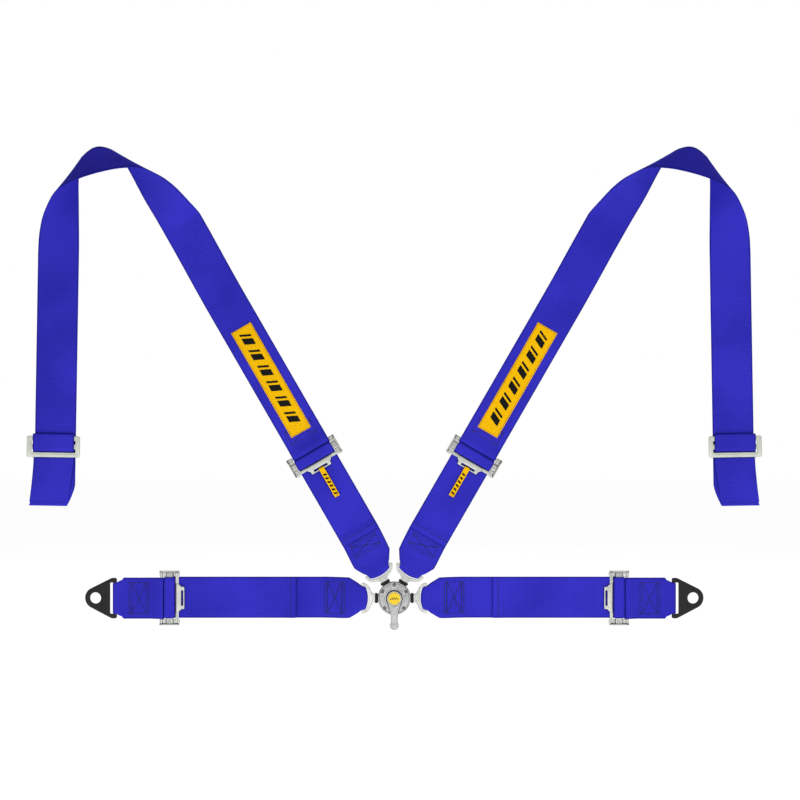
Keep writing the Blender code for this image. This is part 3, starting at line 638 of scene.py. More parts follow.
def metal(name, base, worn, rough, metallic=1.0, grain=0.00002, brushed=None):
    """Plated or cast metal, with soft blotches, fine grain, brighter rubbed edges, a dark rim of painted
    shade where the surface turns from view, and painted shade in creases.
    """
    g = new_material(name)
    blotch = g.blotches(60.0, 5.0)
    fine = g.noise(1400.0, 2.0, brushed)
    edge = g.math("MULTIPLY", g.rubbed_edge(0.505, 0.56), 0.8)
    body = g.mix(edge, g.mix(blotch, base, shaded(base, 0.86)), worn)
    # Painted shade: a dark rim where the surface turns from view.
    rim = g.between(g.add("ShaderNodeLayerWeight", Blend=0.5).outputs["Facing"], 0.06, 0.4, 0.0, 0.9)
    # Painted shade in creases, where other surfaces stand within 4 mm.
    g.set("Base Color", g.painted_crease_shade(g.mix(rim, body, shaded(base, 0.15)), 0.004, 0.15))
    g.set("Metallic", metallic)
    g.set("Roughness", g.between(g.total((blotch, 0.5), (fine, 0.5)), 0.15, 0.85, *rough))
    g.bump(fine, grain)
    return g.owner


def moulded(name, base, rough, grain=0.00005, coat_weight=0.0):
    """Plastic, rubber or paint with a fine moulded grain and paler rubbed edges."""
    g = new_material(name)
    fine = g.noise(2200.0, 3.0)
    blotch = g.blotches(45.0, 4.0)
    edge = g.math("MULTIPLY", g.rubbed_edge(0.51, 0.58), 0.7)
    body = g.mix(blotch, base, shaded(base, 1.15, 0.004))
    g.set("Base Color", g.mix(edge, body, shaded(base, 1.4, 0.02)))
    g.set("Roughness", g.between(g.math("ADD", fine, blotch), 0.4, 1.6, *rough))
    g.set("Coat Weight", coat_weight)
    g.set("Specular IOR Level", 0.3)
    g.bump(fine, grain)
    return g.owner


# Finishes: each a material and the slot that it stands for.
WEB_BASE, WEB_SHADE = colour(63, 57, 217), colour(31, 31, 150)
WEBBING = woven("webbing", WEB_BASE, WEB_SHADE, 0.0029, 0.0030, HALF_WIDTH, 0.03), "webbing_blue"
LABEL_WEAVE = {"rib": 0.0009, "column": 0.0012, "depth": 0.00008}
LABEL_BASE, LABEL_SHADE = colour(255, 199, 0), colour(244, 184, 0)
LABEL = woven("label_cloth", LABEL_BASE, LABEL_SHADE, sheen=0.02, **LABEL_WEAVE), "label_yellow"
MARK_BASE, MARK_SHADE = colour(30, 29, 26), colour(12, 12, 12)
MARKS = woven("label_marks", MARK_BASE, MARK_SHADE, sheen=0.01, **LABEL_WEAVE), "plastic_black"
BLUE_THREAD = thread("blue_thread", colour(10, 9, 58)), "webbing_blue"
YELLOW_THREAD = thread("yellow_thread", colour(214, 150, 8)), "label_yellow"
ZINC = metal("bright_zinc", colour(214, 218, 210), colour(240, 240, 236), (0.14, 0.32)), "zinc_silver"
SLIDE_ZINC = metal("satin_zinc", colour(216, 223, 209), colour(240, 240, 232), (0.26, 0.44)), "zinc_silver"
CAST_BASE, CAST_WORN = colour(196, 197, 196), colour(224, 224, 224)
CAST = metal("satin_cast", CAST_BASE, CAST_WORN, (0.34, 0.5), 0.75, 0.00006), "cast_grey"
STEEL_BASE, STEEL_WORN = colour(138, 132, 130), colour(190, 186, 184)
STEEL = metal("spring_steel", STEEL_BASE, STEEL_WORN, (0.2, 0.4), brushed=(1, 1, 12)), "zinc_silver"
PLATE = moulded("black_plate", colour(22, 22, 23), (0.36, 0.52), 0.00004), "plate_black"
PLASTIC = moulded("black_plastic", colour(4, 4, 4), (0.42, 0.6)), "plastic_black"
RUBBER = moulded("rubber", colour(30, 30, 30), (0.7, 0.9), 0.0001), "rubber_black"
BADGE = moulded("badge_yellow", colour(244, 204, 18), (0.2, 0.32), 0.00001, 0.6), "badge_yellow"


# ---------------------------------------------------------------- belts


def soft_min(a, b, softness=0.0012):
    return -softness * math.log(math.exp(-a / softness) + math.exp(-b / softness))


def belt_half_width(along, out):
    """Narrow at the tongue and drawn in on straight lines; the layer behind is a little wider."""
    taper = max(NARROW_HALF + 0.25 * max(along - 0.0515, 0), 0.0239 + 0.61 * (along - 0.0626))
    behind = smooth(-out / 0.002) * smooth((along - 0.053) / 0.006) * smooth((0.088 - along) / 0.006)
    return soft_min(taper, HALF_WIDTH) + 0.0014 * behind


def bowed(mesh):
    """Sets the corners of what passes round the tongue's bar further back than its middle."""
    for vert in mesh.vertices:
        share = min((vert.co.y / NARROW_HALF) ** 2, 1.2)
        vert.co.x += NOSE_BOW * share * smooth((0.067 - vert.co.x) / 0.016)
    return mesh


def load_strap(belt, matrix):
    """From its sewn end behind the belt, round the tongue's bar and out to the adjuster."""
    axis = joint_place(f"tongue_pivot_{belt}", matrix).x
    high = local_box(f"load_strap_{belt}", matrix)[1]
    shift = middle_across(f"tail_strap_{belt}", matrix)
    sewn_end = 0.1295
    level_out = 0.00022
    path = [(sewn_end, -PITCH), (TAPER_END + 0.004, -PITCH)]
    path += ease(path[-1], (axis, -TONGUE_LOOP), 14)
    path += arc((axis, 0), TONGUE_LOOP, 270, 90, 20)[1:]
    path += ease(path[-1], (TAPER_END + 0.004, level_out), 14)
    path += [(sewn_end - 0.001, level_out)]
    path += ease(path[-1], (sewn_end + 0.004, 0), 4)
    path += [(high.x, 0)]
    drift = lambda along: shift * smooth((along - DRIFT[0]) / (DRIFT[1] - DRIFT[0]))
    stations = [((x, drift(x), z), (0, belt_half_width(x, z), 0)) for x, z in dense(path, STATION)]
    mesh = bowed(strap_mesh(stations, matrix))
    strap = piece(f"load_webbing_{belt}", [mesh], WEBBING, None, matrix, f"load_strap_{belt}")
    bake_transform(strap)
    box = (0.0915, 0.1270, 0.029) if belt.startswith("lap") else (0.0967, 0.1235, 0.026)
    lines = [[(x, y + drift(x)) for x, y in dense(line, 0.005)] for line in box_and_cross(*box)]
    stitches = both_faces(lines, THICKNESS / 2 + level_out, -PITCH - THICKNESS / 2)
    sew(f"tongue_stitching_{belt}", stitches, BLUE_THREAD, f"belt_{belt}", matrix)


def tail_strap(belt, matrix):
    """Up round the slider and back along the front of the belt, its end turned under and sewn."""
    low, high = local_box(f"tail_strap_{belt}", matrix)
    front = joint_place(f"strap_swing_{belt}", matrix).x - REAR_BAR
    slider_low, slider_high = local_box(f"adjuster_slider_{belt}", matrix)
    roll = (slider_low + slider_high) / 2
    half_height = 0.0038
    level_out = PITCH + 1.6 * STITCH_RADIUS  # clear of the stitching that the end slides over
    shift = (low.y + high.y) / 2
    path = [(front + 0.005, 0), (front + 0.0095, 0)]
    path += ease(path[-1], (roll.x + 0.002, 0.0035), 8)
    path += arc((roll.x + 0.0055, roll.z), half_height, 300, 450, 20)
    path += arc((roll.x - 0.0042, roll.z), half_height, 90, 215, 20)
    path += [(front + 0.0120, 0.0042), (front + 0.0116, 0.0034), (front + 0.0107, level_out)]
    path += [(low.x + HEM + 0.010, level_out)]
    path += ease(path[-1], (low.x + HEM - 0.001, level_out + PITCH), 8)
    fold = PITCH / 2
    fold_at = low.x + fold + THICKNESS / 2
    path += [(fold_at, level_out + PITCH)]
    path += arc((fold_at, level_out + fold), fold, 90, 270, 10)[1:]
    path += [(low.x + HEM, level_out)]
    body = f"slider_{belt}"
    mesh = strap_mesh(level(path, drift=lambda along: shift), matrix)
    piece(f"tail_webbing_{belt}", [mesh], WEBBING, body, matrix, f"tail_strap_{belt}")
    edge = HALF_WIDTH - 0.002
    hem = [(low.x + 0.0093, shift - edge), (low.x + 0.0093, shift + edge)]
    stitches = flat_lines([hem], level_out + PITCH + THICKNESS / 2)
    sew(f"hem_stitching_{belt}", stitches, BLUE_THREAD, body, matrix)


# ---------------------------------------------------------------- adjuster

RAIL_END = 0.0378  # from the crossbar's front, as all of the frame's places are


def cheek(front, side, base, top):
    """An upturned side wall, low at both ends, with the slider's slot in it."""
    rear = front + RAIL_END
    wall = rounded(
        [(front + 0.0015, base), (rear, base), (rear, top - 0.0035), (rear - 0.006, top),
         (front + 0.012, top), (front + 0.003, top - 0.006)],
        [0.0008, 0.0010, 0.0025, 0.0035, 0.0035, 0.0030],
    )
    slot = rounded(rectangle(front + 0.0105, 0.0061, front + 0.0275, 0.0117), 0.0022)
    mesh = turned(plate([wall, slot], -0.0011, 0.0011, 0.0006), 90, "X")
    return moved(mesh, y=side * 0.0484)


def adjuster(belt, matrix):
    """Frame with lug, crossbar, rails and cheeks, a round rear bar, and a knurled slider."""
    node = f"adjuster_frame_{belt}"
    matrix = matrix @ Matrix.Translation((0, middle_across(node, matrix), 0))
    bar_place = joint_place(f"strap_swing_{belt}", matrix)
    front = bar_place.x - REAR_BAR
    low, high = local_box(node, matrix)
    base = low.z
    lug_half = 0.0207
    lug_out = 0.00665
    crossbar = rounded(
        [(front + 0.0086, 0.0), (front + 0.0086, 0.0478), (front + 0.0030, 0.0478), (front - 0.0002, 0.0448),
         (front + 0.0026, 0.0370), (front + 0.0022, 0.0)],
        [0, 0.001, 0.002, 0.002, 0.006, 0], 6, closed=False,
    )
    meshes = [plate([mirrored(crossbar)], base, base + 0.0025, 0.0008)]
    lug = rounded(
        [(front + 0.0070, 0.0), (front + 0.0070, 0.0270), (front + 0.0010, lug_half + 0.0035),
         (front - 0.0020, lug_half), (front - 0.0078, lug_half - 0.0004), (front - 0.0078, 0.0)],
        [0, 0.002, 0.002, 0.002, 0.002, 0], 6, closed=False,
    )
    slot = rounded(rectangle(front - 0.0054, -0.0138, front - 0.0018, 0.0138), 0.0014)
    meshes.append(plate([mirrored(lug), slot], lug_out - 0.00125, lug_out + 0.00125, 0.0007))
    for side in (-1, 1):
        edges = sorted((side * 0.0388, side * 0.0486))
        rail = rounded(rectangle(front + 0.004, edges[0], front + RAIL_END, edges[1]), 0.0015)
        meshes.append(plate([rail], base, base + 0.0025, 0.0007))
        meshes.append(cheek(front, side, base + 0.0002, high.z))
        inner, outside = side * 0.0275, side * 0.0462
        ledge = [(front + 0.0068, inner), (front + 0.0084, inner), (front + 0.0084, outside)]
        ledge = rounded(ledge + [(front + 0.0046, outside)], [0.0004, 0.0004, 0.0008, 0.0008])
        meshes.append(plate([ledge], base + 0.0018, base + 0.0033, 0.0004))
    rod = [(bar_place.x, across, bar_place.z) for across in (-0.0484, 0.0484)]
    meshes.append(bar(rod, 0.002, 20))
    piece(f"pressed_frame_{belt}", meshes, ZINC, f"adjuster_{belt}", matrix, node)
    slider(belt, matrix)


def slider(belt, matrix):
    """A bar with round edges and fine ridges across both ends."""
    node = f"adjuster_slider_{belt}"
    low, high = local_box(node, matrix)
    middle = (low + high) / 2
    half_height = (high.z - low.z) / 2
    nose = (high.x - low.x) / 2 - half_height
    outline = arc((nose, 0), half_height, -90, 90, 12) + arc((-nose, 0), half_height, 90, 270, 12)
    body = turned(plate([outline], -0.0470, 0.0470, 0.0005), 90, "X")
    meshes = [moved(body, middle.x, 0, middle.z)]
    for side in (-1, 1):
        for k in range(6):
            across = side * (0.0394 + 0.0012 * k)
            ridge = [(middle.x + along, across, high.z) for along in (-0.0042, 0.0042)]
            meshes.append(bar(ridge, 0.0003, 6))
    piece(f"knurled_slider_{belt}", meshes, ZINC, f"slider_{belt}", matrix, node)


# ---------------------------------------------------------------- tongue and anchor


def tongue(belt, matrix):
    """A neck with the latch's window, wings with the webbing's slot, and raised ribs to the wings."""
    body = node = f"tongue_{belt}"
    axis = joint_place(f"tongue_pivot_{belt}", matrix).x
    low, high = local_box(node, matrix)
    half = 0.0075
    neck_end = 0.0362
    neck = [(low.x, half - 0.0015), (low.x + 0.0015, half), (neck_end, half)]
    flare = [(neck_end + 0.0070 * t, half + 0.0125 * smooth(t) * t) for t in (0.25, 0.5, 0.75, 1.0)]
    wing = arc((0.0515, 0.021), 0.007, 168, 90, 10) + arc((high.x - 0.004, 0.024), 0.004, 90, 0, 8)
    outline = dense_outline(mirrored(neck + flare + wing), 0.003)
    slot = dense_outline(rounded(rectangle(axis - 0.007, -0.0215, axis - 0.003, 0.0215), 0.0016), 0.002)
    window = rounded(rectangle(0.0190, -0.0045, 0.0237, 0.0045), 0.0008)
    meshes = [bowed(plate([outline, slot, window], low.z, high.z, 0.0006))]
    rib = ((0.0385, 0.0030), (0.0412, 0.0078), (0.0437, 0.0150))
    rib += ((0.0462, 0.0215), (0.0500, 0.0245), (0.0530, 0.0248))
    for side in (-1, 1):
        meshes.append(bar([(x, side * y, high.z - 0.0002) for x, y in rib], 0.0006, 8))
    piece(f"plated_tongue_{belt}", meshes, ZINC, body, matrix, node)
    node = f"tongue_collar_{belt}"
    low, high = local_box(node, matrix)
    outside = rounded(rectangle(low.y, low.z, high.y, high.z), 0.0012)
    opening = rounded(rectangle(-0.0078, -0.0018, 0.0078, 0.0018), 0.0004)
    sleeve = plate([outside, opening], low.x, high.x, 0.0005)
    sleeve.transform(Matrix(((0, 0, 1, 0), (1, 0, 0, 0), (0, 1, 0, 0), (0, 0, 0, 1))))
    piece(f"tongue_sleeve_{belt}", [sleeve], PLASTIC, body, matrix, node)


def anchor_half_width(along, start):
    """Full width until just before the plate, then drawn in to pass through its slot."""
    narrowed = 0.0050 * smooth((along - start) / 0.005) + 0.0045 * smooth((along - start - 0.005) / 0.011)
    return HALF_WIDTH - narrowed


def anchor_strap(belt, matrix):
    """A short strap, both ends turned back behind it: one round the adjuster, one the plate."""
    bar_place = joint_place(f"strap_swing_{belt}", matrix)
    anchor = joint_place(f"anchor_swing_{belt}", matrix)
    middle = (bar_place.x + anchor.x) / 2
    path = round_bar(middle - 0.002, bar_place)
    path += [(anchor.x - BAR_RUN, STRAP_OUT)]
    path += ease(path[-1], (anchor.x, anchor.z + ANCHOR_LOOP), 16)
    path += arc((anchor.x, anchor.z), ANCHOR_LOOP, 90, -90, 20)[1:]
    path += ease(path[-1], (anchor.x - BAR_RUN, BEHIND), 16)
    path += [(middle + 0.002, BEHIND)]
    start = anchor.x - 0.0155
    mesh = strap_mesh(level(path, lambda along: anchor_half_width(along, start)), matrix)
    body = f"anchor_strap_{belt}"
    piece(f"anchor_webbing_{belt}", [mesh], WEBBING, body, matrix, body)
    lines = box_and_cross(middle - 0.0185, middle + 0.0175, 0.0285)
    stitches = both_faces(lines, STRAP_OUT + THICKNESS / 2, BEHIND - THICKNESS / 2)
    sew(f"anchor_stitching_{belt}", stitches, BLUE_THREAD, body, matrix)


def anchor_plate(belt, matrix):
    """A slotted plate that narrows to a round lug with a bolt hole, bent back past the slot."""
    body = f"anchor_plate_{belt}"
    axis = joint_place(f"anchor_swing_{belt}", matrix)
    high = local_box(body, matrix)[1]
    half_width = high.y
    tip = 0.0196
    hole = high.x - tip
    rear = axis.x - 0.0025
    shoulder = 0.5210
    reach = Vector((shoulder - hole, half_width))
    tangent = math.degrees(math.atan2(reach.y, reach.x) - math.acos(tip / reach.length))
    upper = arc((rear + 0.0032, half_width - 0.0032), 0.0032, 180, 90, 6)
    upper += arc((shoulder - 0.006, half_width - 0.006), 0.006, 90, tangent, 8)
    upper += arc((hole, 0), tip, tangent, 0, 18)
    outline = upper + [(x, -y) for x, y in reversed(upper[:-1])]
    slot = rounded(rectangle(axis.x + 0.0025, -0.0285, axis.x + 0.0098, 0.0285), 0.0022)
    bolt = arc((hole, 0), 0.0102, 0, 350, 35)
    bm = bmesh.new()
    bm.from_mesh(plate([outline, slot, bolt], axis.z - 0.0015, axis.z + 0.0015, 0.0005))
    bend_at = 0.523
    bend = math.tan(math.radians(10))
    soft = 0.001
    for step in range(5):
        place = (bend_at + soft * (step / 2 - 1), 0, 0)
        everything = bm.verts[:] + bm.edges[:] + bm.faces[:]
        bmesh.ops.bisect_plane(bm, geom=everything, dist=1e-7, plane_co=place, plane_no=(1, 0, 0))
    for vert in bm.verts:
        past = vert.co.x - bend_at
        drop = 0 if past < -soft else past if past > soft else (past + soft) ** 2 / (4 * soft)
        vert.co.z -= drop * bend
    piece(f"coated_plate_{belt}", [mesh_from(bm)], PLATE, body, matrix, body)


# ---------------------------------------------------------------- upper shoulder strap

# The turn at the top, on the right side: rows of the near edge's x and z, the far edge's x and z,
# and how far the far edge stands out. The first and last row only guide the curves' ends.
TURN = (
    (0.4019, 0.6342, 0.3369, 0.6717, 0.0),
    (0.4194, 0.6645, 0.3544, 0.7020, 0.0),
    (0.4375, 0.6960, 0.3738, 0.7243, 0.030),
    (0.4580, 0.7310, 0.3949, 0.7464, 0.043),
    (0.4790, 0.7710, 0.4143, 0.7618, 0.047),
    (0.4950, 0.7990, 0.4313, 0.7712, 0.045),
    (0.5080, 0.8135, 0.4480, 0.7784, 0.046),
    (0.5220, 0.8215, 0.4682, 0.7817, 0.051),
    (0.5376, 0.8251, 0.4971, 0.7795, 0.057),
    (0.5500, 0.8228, 0.5263, 0.7735, 0.060),
    (0.5600, 0.8165, 0.5568, 0.7649, 0.060),
    (0.5670, 0.8100, 0.5823, 0.7557, 0.054),
    (0.5720, 0.8035, 0.6056, 0.7449, 0.043),
    (0.5755, 0.7860, 0.6186, 0.7337, 0.036),
    (0.5768, 0.7600, 0.6304, 0.7156, 0.027),
    (0.5765, 0.7250, 0.6410, 0.6937, 0.016),
    (0.5762, 0.6880, 0.6477, 0.6644, 0.008),
    (0.5759, 0.6500, 0.6505, 0.6379, 0.002),
    (0.5764, 0.6120, 0.6514, 0.6120, 0.0),
    (0.5770, 0.5750, 0.6520, 0.5750, 0.0),
)
TURN_STEPS = 180


def turn_station(p):
    """Centre and half-width vector in the turn, at a share p of the way, on smooth curves through TURN."""
    place = 1 + p * (len(TURN) - 3)
    i = min(int(place), len(TURN) - 3)
    t = place - i
    before, first, second, after = (Vector(row) for row in TURN[i - 1 : i + 3])
    bend = (2 * before - 5 * first + 4 * second - after) * t * t
    twist = (3 * first - before - 3 * second + after) * t * t * t
    x, z, far_x, far_z, lean = 0.5 * (2 * first + (second - before) * t + bend + twist)
    front = TONGUE_PLANE - STRAP_OUT
    near = Vector((x, front, z))
    far = Vector((far_x, front - lean, far_z))
    return (near + far) / 2, (far - near) / 2


def loop_share(along):
    """How far down the loop below the slide a place is, from 0 to 1."""
    return min(max((along - 0.0195) / 0.089, 0), 1)


def tail_front(along):
    """How far outward the front layer has run below the slide."""
    return 0.0016 + 0.0102 * loop_share(along) ** 1.35


def tail_rear(along):
    """The same for the layer behind, which hangs straight until it nears the fold."""
    t = max(loop_share(along) - 0.55, 0) / 0.45
    return 0.0118 * t**1.6


def tail_narrow(along, start=0.0):
    """How much narrower than the webbing each half of it is there, where it turns from the view."""
    return 0.0028 * max(loop_share(along) - start, 0) / (1 - start)


def strap_drift(belt, matrix):
    """How far the upper strap's middle lies to the inner side, by the place along the belt."""
    shift = middle_across(f"label_{belt}", matrix)
    last = TURN_SHIFT * outer(belt)
    return lambda along: shift + (last - shift) * smooth((along - 0.62) / (TURN_BEGINS - 0.62))


def upper_strap(belt, matrix):
    """Round the adjuster's rear bar, up to the turn, over it, and down to the fold below the slide."""
    side = outer(belt)
    sewn_end = 0.372
    lie = STRAP_OUT - 0.0006  # past the sewn end, where one layer lies less far out
    path = round_bar(sewn_end, joint_place(f"strap_swing_{belt}", matrix))
    path += [(sewn_end - 0.0005, STRAP_OUT)]
    path += ease(path[-1], (sewn_end + 0.0035, lie), 4)
    path += [(0.60, lie)]
    path += ease(path[-1], (0.77, STRAP_OUT), 12)
    drift = strap_drift(belt, matrix)
    stations = level(path, drift=drift)
    back = matrix.inverted()
    for i in range(TURN_STEPS + 1):
        centre, half = turn_station(i / TURN_STEPS)
        centre.x *= side
        half.x *= side
        stations.append((back @ centre, back.to_3x3() @ half * side))
    down = back @ tail_matrix(belt)
    turn = local_box(f"upper_strap_{belt}", tail_matrix(belt))[1].x - PITCH / 2 - THICKNESS / 2
    tail = [(along, 0) for along in (-0.31, -0.1, 0.0, 0.04)]
    tail += [(0.045 + (turn - 0.045) * k / 24, 0) for k in range(1, 25)]
    tail += arc((turn, PITCH / 2), PITCH / 2, -90, 90, 10)[1:]
    tail += [(turn - 0.004, PITCH)]
    for along, out in tail:
        half = down.to_3x3() @ Vector((0, HALF_WIDTH - tail_narrow(along, 0.55), 0))
        stations.append((down @ Vector((along, side * tail_rear(along), out)), half))
    body = f"upper_strap_{belt}"
    piece(f"shoulder_webbing_{belt}", [strap_mesh(stations, matrix)], WEBBING, body, matrix, body)
    lines = [[(x, y + drift(x)) for x, y in line] for line in box_and_cross(0.3310, 0.3640, 0.026)]
    stitches = both_faces(lines, STRAP_OUT + THICKNESS / 2, BEHIND - THICKNESS / 2)
    sew(f"shoulder_stitching_{belt}", stitches, BLUE_THREAD, body, matrix)


def slanted(half_long, half_wide, slant):
    """The corners of a slanted block round (0, 0)."""
    corners = [(slant - half_long, half_wide), (-slant - half_long, -half_wide)]
    return corners + [(half_long - slant, -half_wide), (half_long + slant, half_wide)]


def label(belt, matrix):
    """A sewn cloth label with a row of slanted blocks woven into it."""
    node = f"label_{belt}"
    low, high = local_box(node, matrix)
    drift = strap_drift(belt, matrix)
    length, width, thickness = 0.2206, 0.0413, 0.0006
    first = (low.x + high.x - length) / 2
    lift = STRAP_OUT + THICKNESS / 2 + 0.0001
    path = [(first + length * k / 50, lift + thickness / 2) for k in range(51)]
    body = f"upper_strap_{belt}"
    mesh = strap_mesh(level(path, lambda along: width / 2, drift), matrix, thickness, 8)
    piece(f"sewn_label_{belt}", [mesh], LABEL, body, matrix, node)
    blocks = []
    for k in range(6):
        for step, half_long in ((0, 0.0062), (0.0125, 0.0022)):
            place = first + length * (0.13 + 0.148 * k) + step
            corners = slanted(half_long, 0.0095, 0.0045)
            outline = rounded([(place + x, y + drift(place)) for x, y in corners], 0.0006, 3)
            height = lift + thickness + wobble(matrix @ Vector((place, 0, lift)))
            blocks.append(uv_mapped(plate([outline], height - 0.0003, height + 0.00018, 0.00008)))
    piece(f"label_blocks_{belt}", blocks, MARKS, body, matrix)
    inset = 0.0016
    half = width / 2 - inset
    corners = rectangle(first + inset, -half, first + length - inset, half)
    line = dense([(x, y + drift(x)) for x, y in corners + corners[:1]], 0.01)
    sew(f"label_stitching_{belt}", flat_lines([line], lift + thickness), YELLOW_THREAD, body, matrix)


def uv_mapped(mesh):
    """Gives a flat mesh its own x and y as the weave's place."""
    layer = mesh.uv_layers.new(name="weave")
    for loop in mesh.loops:
        co = mesh.vertices[loop.vertex_index].co
        layer.data[loop.index].uv = (co.x, co.y)
    return mesh


def pull_tab(belt, matrix):
    """A narrow doubled strip that hangs from the lug's front bar, with small blocks on it."""
    body = f"pull_tab_{belt}"
    matrix = matrix @ Matrix.Translation((0, middle_across(body, matrix), 0))
    pivot = joint_place(f"pull_tab_swing_{belt}", matrix)
    start = local_box(body, matrix)[0].x
    width, thickness = 0.0099, 0.0009
    loop = 0.00255
    front, back = pivot.z + 0.00062, pivot.z - 0.00062
    path = [(start, back), (pivot.x - 0.010, back)]
    path += ease(path[-1], (pivot.x, pivot.z - loop), 8)
    path += arc((pivot.x, pivot.z), loop, -90, 90, 14)[1:]
    path += ease(path[-1], (pivot.x - 0.010, front), 8)
    path += [(start, front)]
    mesh = strap_mesh(level(path, lambda along: width / 2), matrix, thickness, 6)
    piece(f"pull_strip_{belt}", [mesh], LABEL, body, matrix, body)
    blocks = []
    height = front + thickness / 2
    for k in range(6):
        centre = start + 0.0067 + 0.0078 * k
        outline = rounded([(centre + x, y) for x, y in slanted(0.0018, 0.0031, 0.0010)], 0.0003, 3)
        face = height + wobble(matrix @ Vector((centre, 0, height)))
        blocks.append(uv_mapped(plate([outline], face - 0.0002, face + 0.00015, 0.00006)))
    piece(f"pull_blocks_{belt}", blocks, MARKS, body, matrix)
    edge = width / 2 - 0.0012
    stitches = flat_lines([[(start + 0.0015, -edge), (start + 0.0015, edge)]], height)
    sew(f"pull_stitching_{belt}", stitches, YELLOW_THREAD, body, matrix)


def tail_slide(belt):
    """Three-bar slide with the strap's end wrapped over two bars, and the front layer of the loop."""
    matrix = tail_matrix(belt)
    side = outer(belt)
    upper, lower = f"upper_strap_{belt}", f"tail_slide_{belt}"
    node = f"three_bar_slide_{belt}"
    low, high = local_box(node, matrix)
    half = (high.x - low.x) / 2
    slide_frame = matrix @ Matrix.Translation((0, side * SLIDE_SHIFT, 0))
    outline = rounded(rectangle(-half, -0.0485, half, 0.0485), 0.0042, 8)
    slots = [rounded(rectangle(x - 0.003, -0.0400, x + 0.003, 0.0400), 0.0016) for x in (-0.0075, 0.0075)]
    meshes = [plate([outline] + slots, low.z, high.z, 0.0009)]
    for x in (-0.015, 0, 0.015):
        meshes.append(bar([(x, y, high.z - 0.0009) for y in (-0.0385, 0.0385)], 0.0014))
    piece(f"plated_slide_{belt}", meshes, SLIDE_ZINC, lower, slide_frame, node)
    over = high.z + 0.0003 + THICKNESS / 2
    middle = (over + PITCH) / 2
    radius = (over - PITCH) / 2
    bend = ((0.0030, radius), (0.0018, 0.0020), (0.00075, 0.0007))
    path = [(half + 0.0012, PITCH)]
    path += [(0.0075 + x, middle - z) for x, z in bend]
    path += [(0.0075 - x, middle + z) for x, z in reversed(bend)]
    path += arc((-0.020, middle), radius, 90, 270, 16)
    path += [(-half + 0.009, PITCH)]
    mesh = strap_mesh(level(path), slide_frame)
    piece(f"wrap_webbing_{belt}", [mesh], WEBBING, lower, slide_frame, f"slide_wrap_{belt}")
    node = f"tail_return_{belt}"
    last, first = (corner.x for corner in local_box(node, matrix))
    stations = []
    for k in range(25):
        along = first + (last - first) * k / 24
        stations.append(((along, side * tail_front(along), PITCH), (0, HALF_WIDTH - tail_narrow(along), 0)))
    front = piece(f"loop_webbing_{belt}", [strap_mesh(stations, matrix)], WEBBING, None, matrix, node)
    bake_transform(front)


# ---------------------------------------------------------------- buckle


def screw_places():
    matrix = belt_matrix("lap_right")
    places = []
    for number in range(1, 6):
        low, high = local_box(f"cover_screw_{number}", matrix)
        places.append(((low.x + high.x) / 2, (low.y + high.y) / 2, high.z))
    return places


def buckle_cover(matrix):
    """A turned cover with a stepped rim, raised pads over the tongues and sunk screws."""
    low, high = local_box("buckle_cover", matrix)
    radius, back, top = high.x, low.z, high.z
    profile = [(0.0034, back + 0.0004), (0.0034, top - 0.0009)]
    profile += [(0.0150, top - 0.0009), (0.0154, top - 0.0006)]
    profile += [(0.0156, top), (0.0172, top), (0.0176, top - 0.0004), (0.0182, top - 0.0004)]
    profile += [(0.0262, top - 0.0004), (0.0266, top - 0.0006)]
    profile += [(0.0269, top - 0.0010), (0.0273, top - 0.0010)]
    profile += [(0.0277, top - 0.0005), (0.0283, top - 0.0004)]
    profile += [(0.0290, top - 0.0007), (0.0296, top - 0.0013)]
    profile += [(radius, top - 0.0024), (radius, back + 0.0005), (radius - 0.0004, back), (0.0130, back)]
    profile += [(0.0128, back + 0.0004), (0.0034, back + 0.0004)]
    sink = [(0, top + 0.002), (0.0033, top + 0.002), (0.0033, top - 0.0018), (0, top - 0.0018)]
    tools = [lathe(sink, 24, (x, y)) for x, y, z in screw_places()]
    drop = rounded([(-0.0052, 0.0278), (0.0052, 0.0278), (0.0, 0.0196)], 0.0020, 6)
    tools.append(plate([drop], top - 0.0012, top + 0.003, 0.0001))
    meshes = [cut(lathe(profile, 96), tools)]
    for angle in (0, 60, 120, 180):
        pad = arc((0, 0), 0.0247, -13, 13, 12) + arc((0, 0), 0.0194, 13, -13, 12)
        meshes.append(turned(plate([pad], top - 0.0007, top + 0.0001, 0.0003), angle))
        bead = [(x, y, top + 0.0001) for x, y in arc((0, 0), 0.0221, -9, 9, 12)]
        meshes.append(turned(bar(bead, 0.0006, 8), angle))
    piece("satin_cover", meshes, CAST, "buckle", matrix, "buckle_cover")
    for number, (x, y, z) in enumerate(screw_places(), 1):
        head = [(0, z - 0.0002), (0.0012, z - 0.0002), (0.0021, z - 0.0005), (0.00265, z - 0.0012)]
        head += [(0.00265, z - 0.0019), (0, z - 0.0019)]
        socket = plate([arc((0, 0), 0.0013, 0, 300, 5)], z - 0.0011, z + 0.001, 0.00005)
        screw = moved(cut(lathe(head, 32), [socket]), x, y)
        piece(f"socket_screw_{number}", [screw], STEEL, "buckle", matrix, f"cover_screw_{number}")


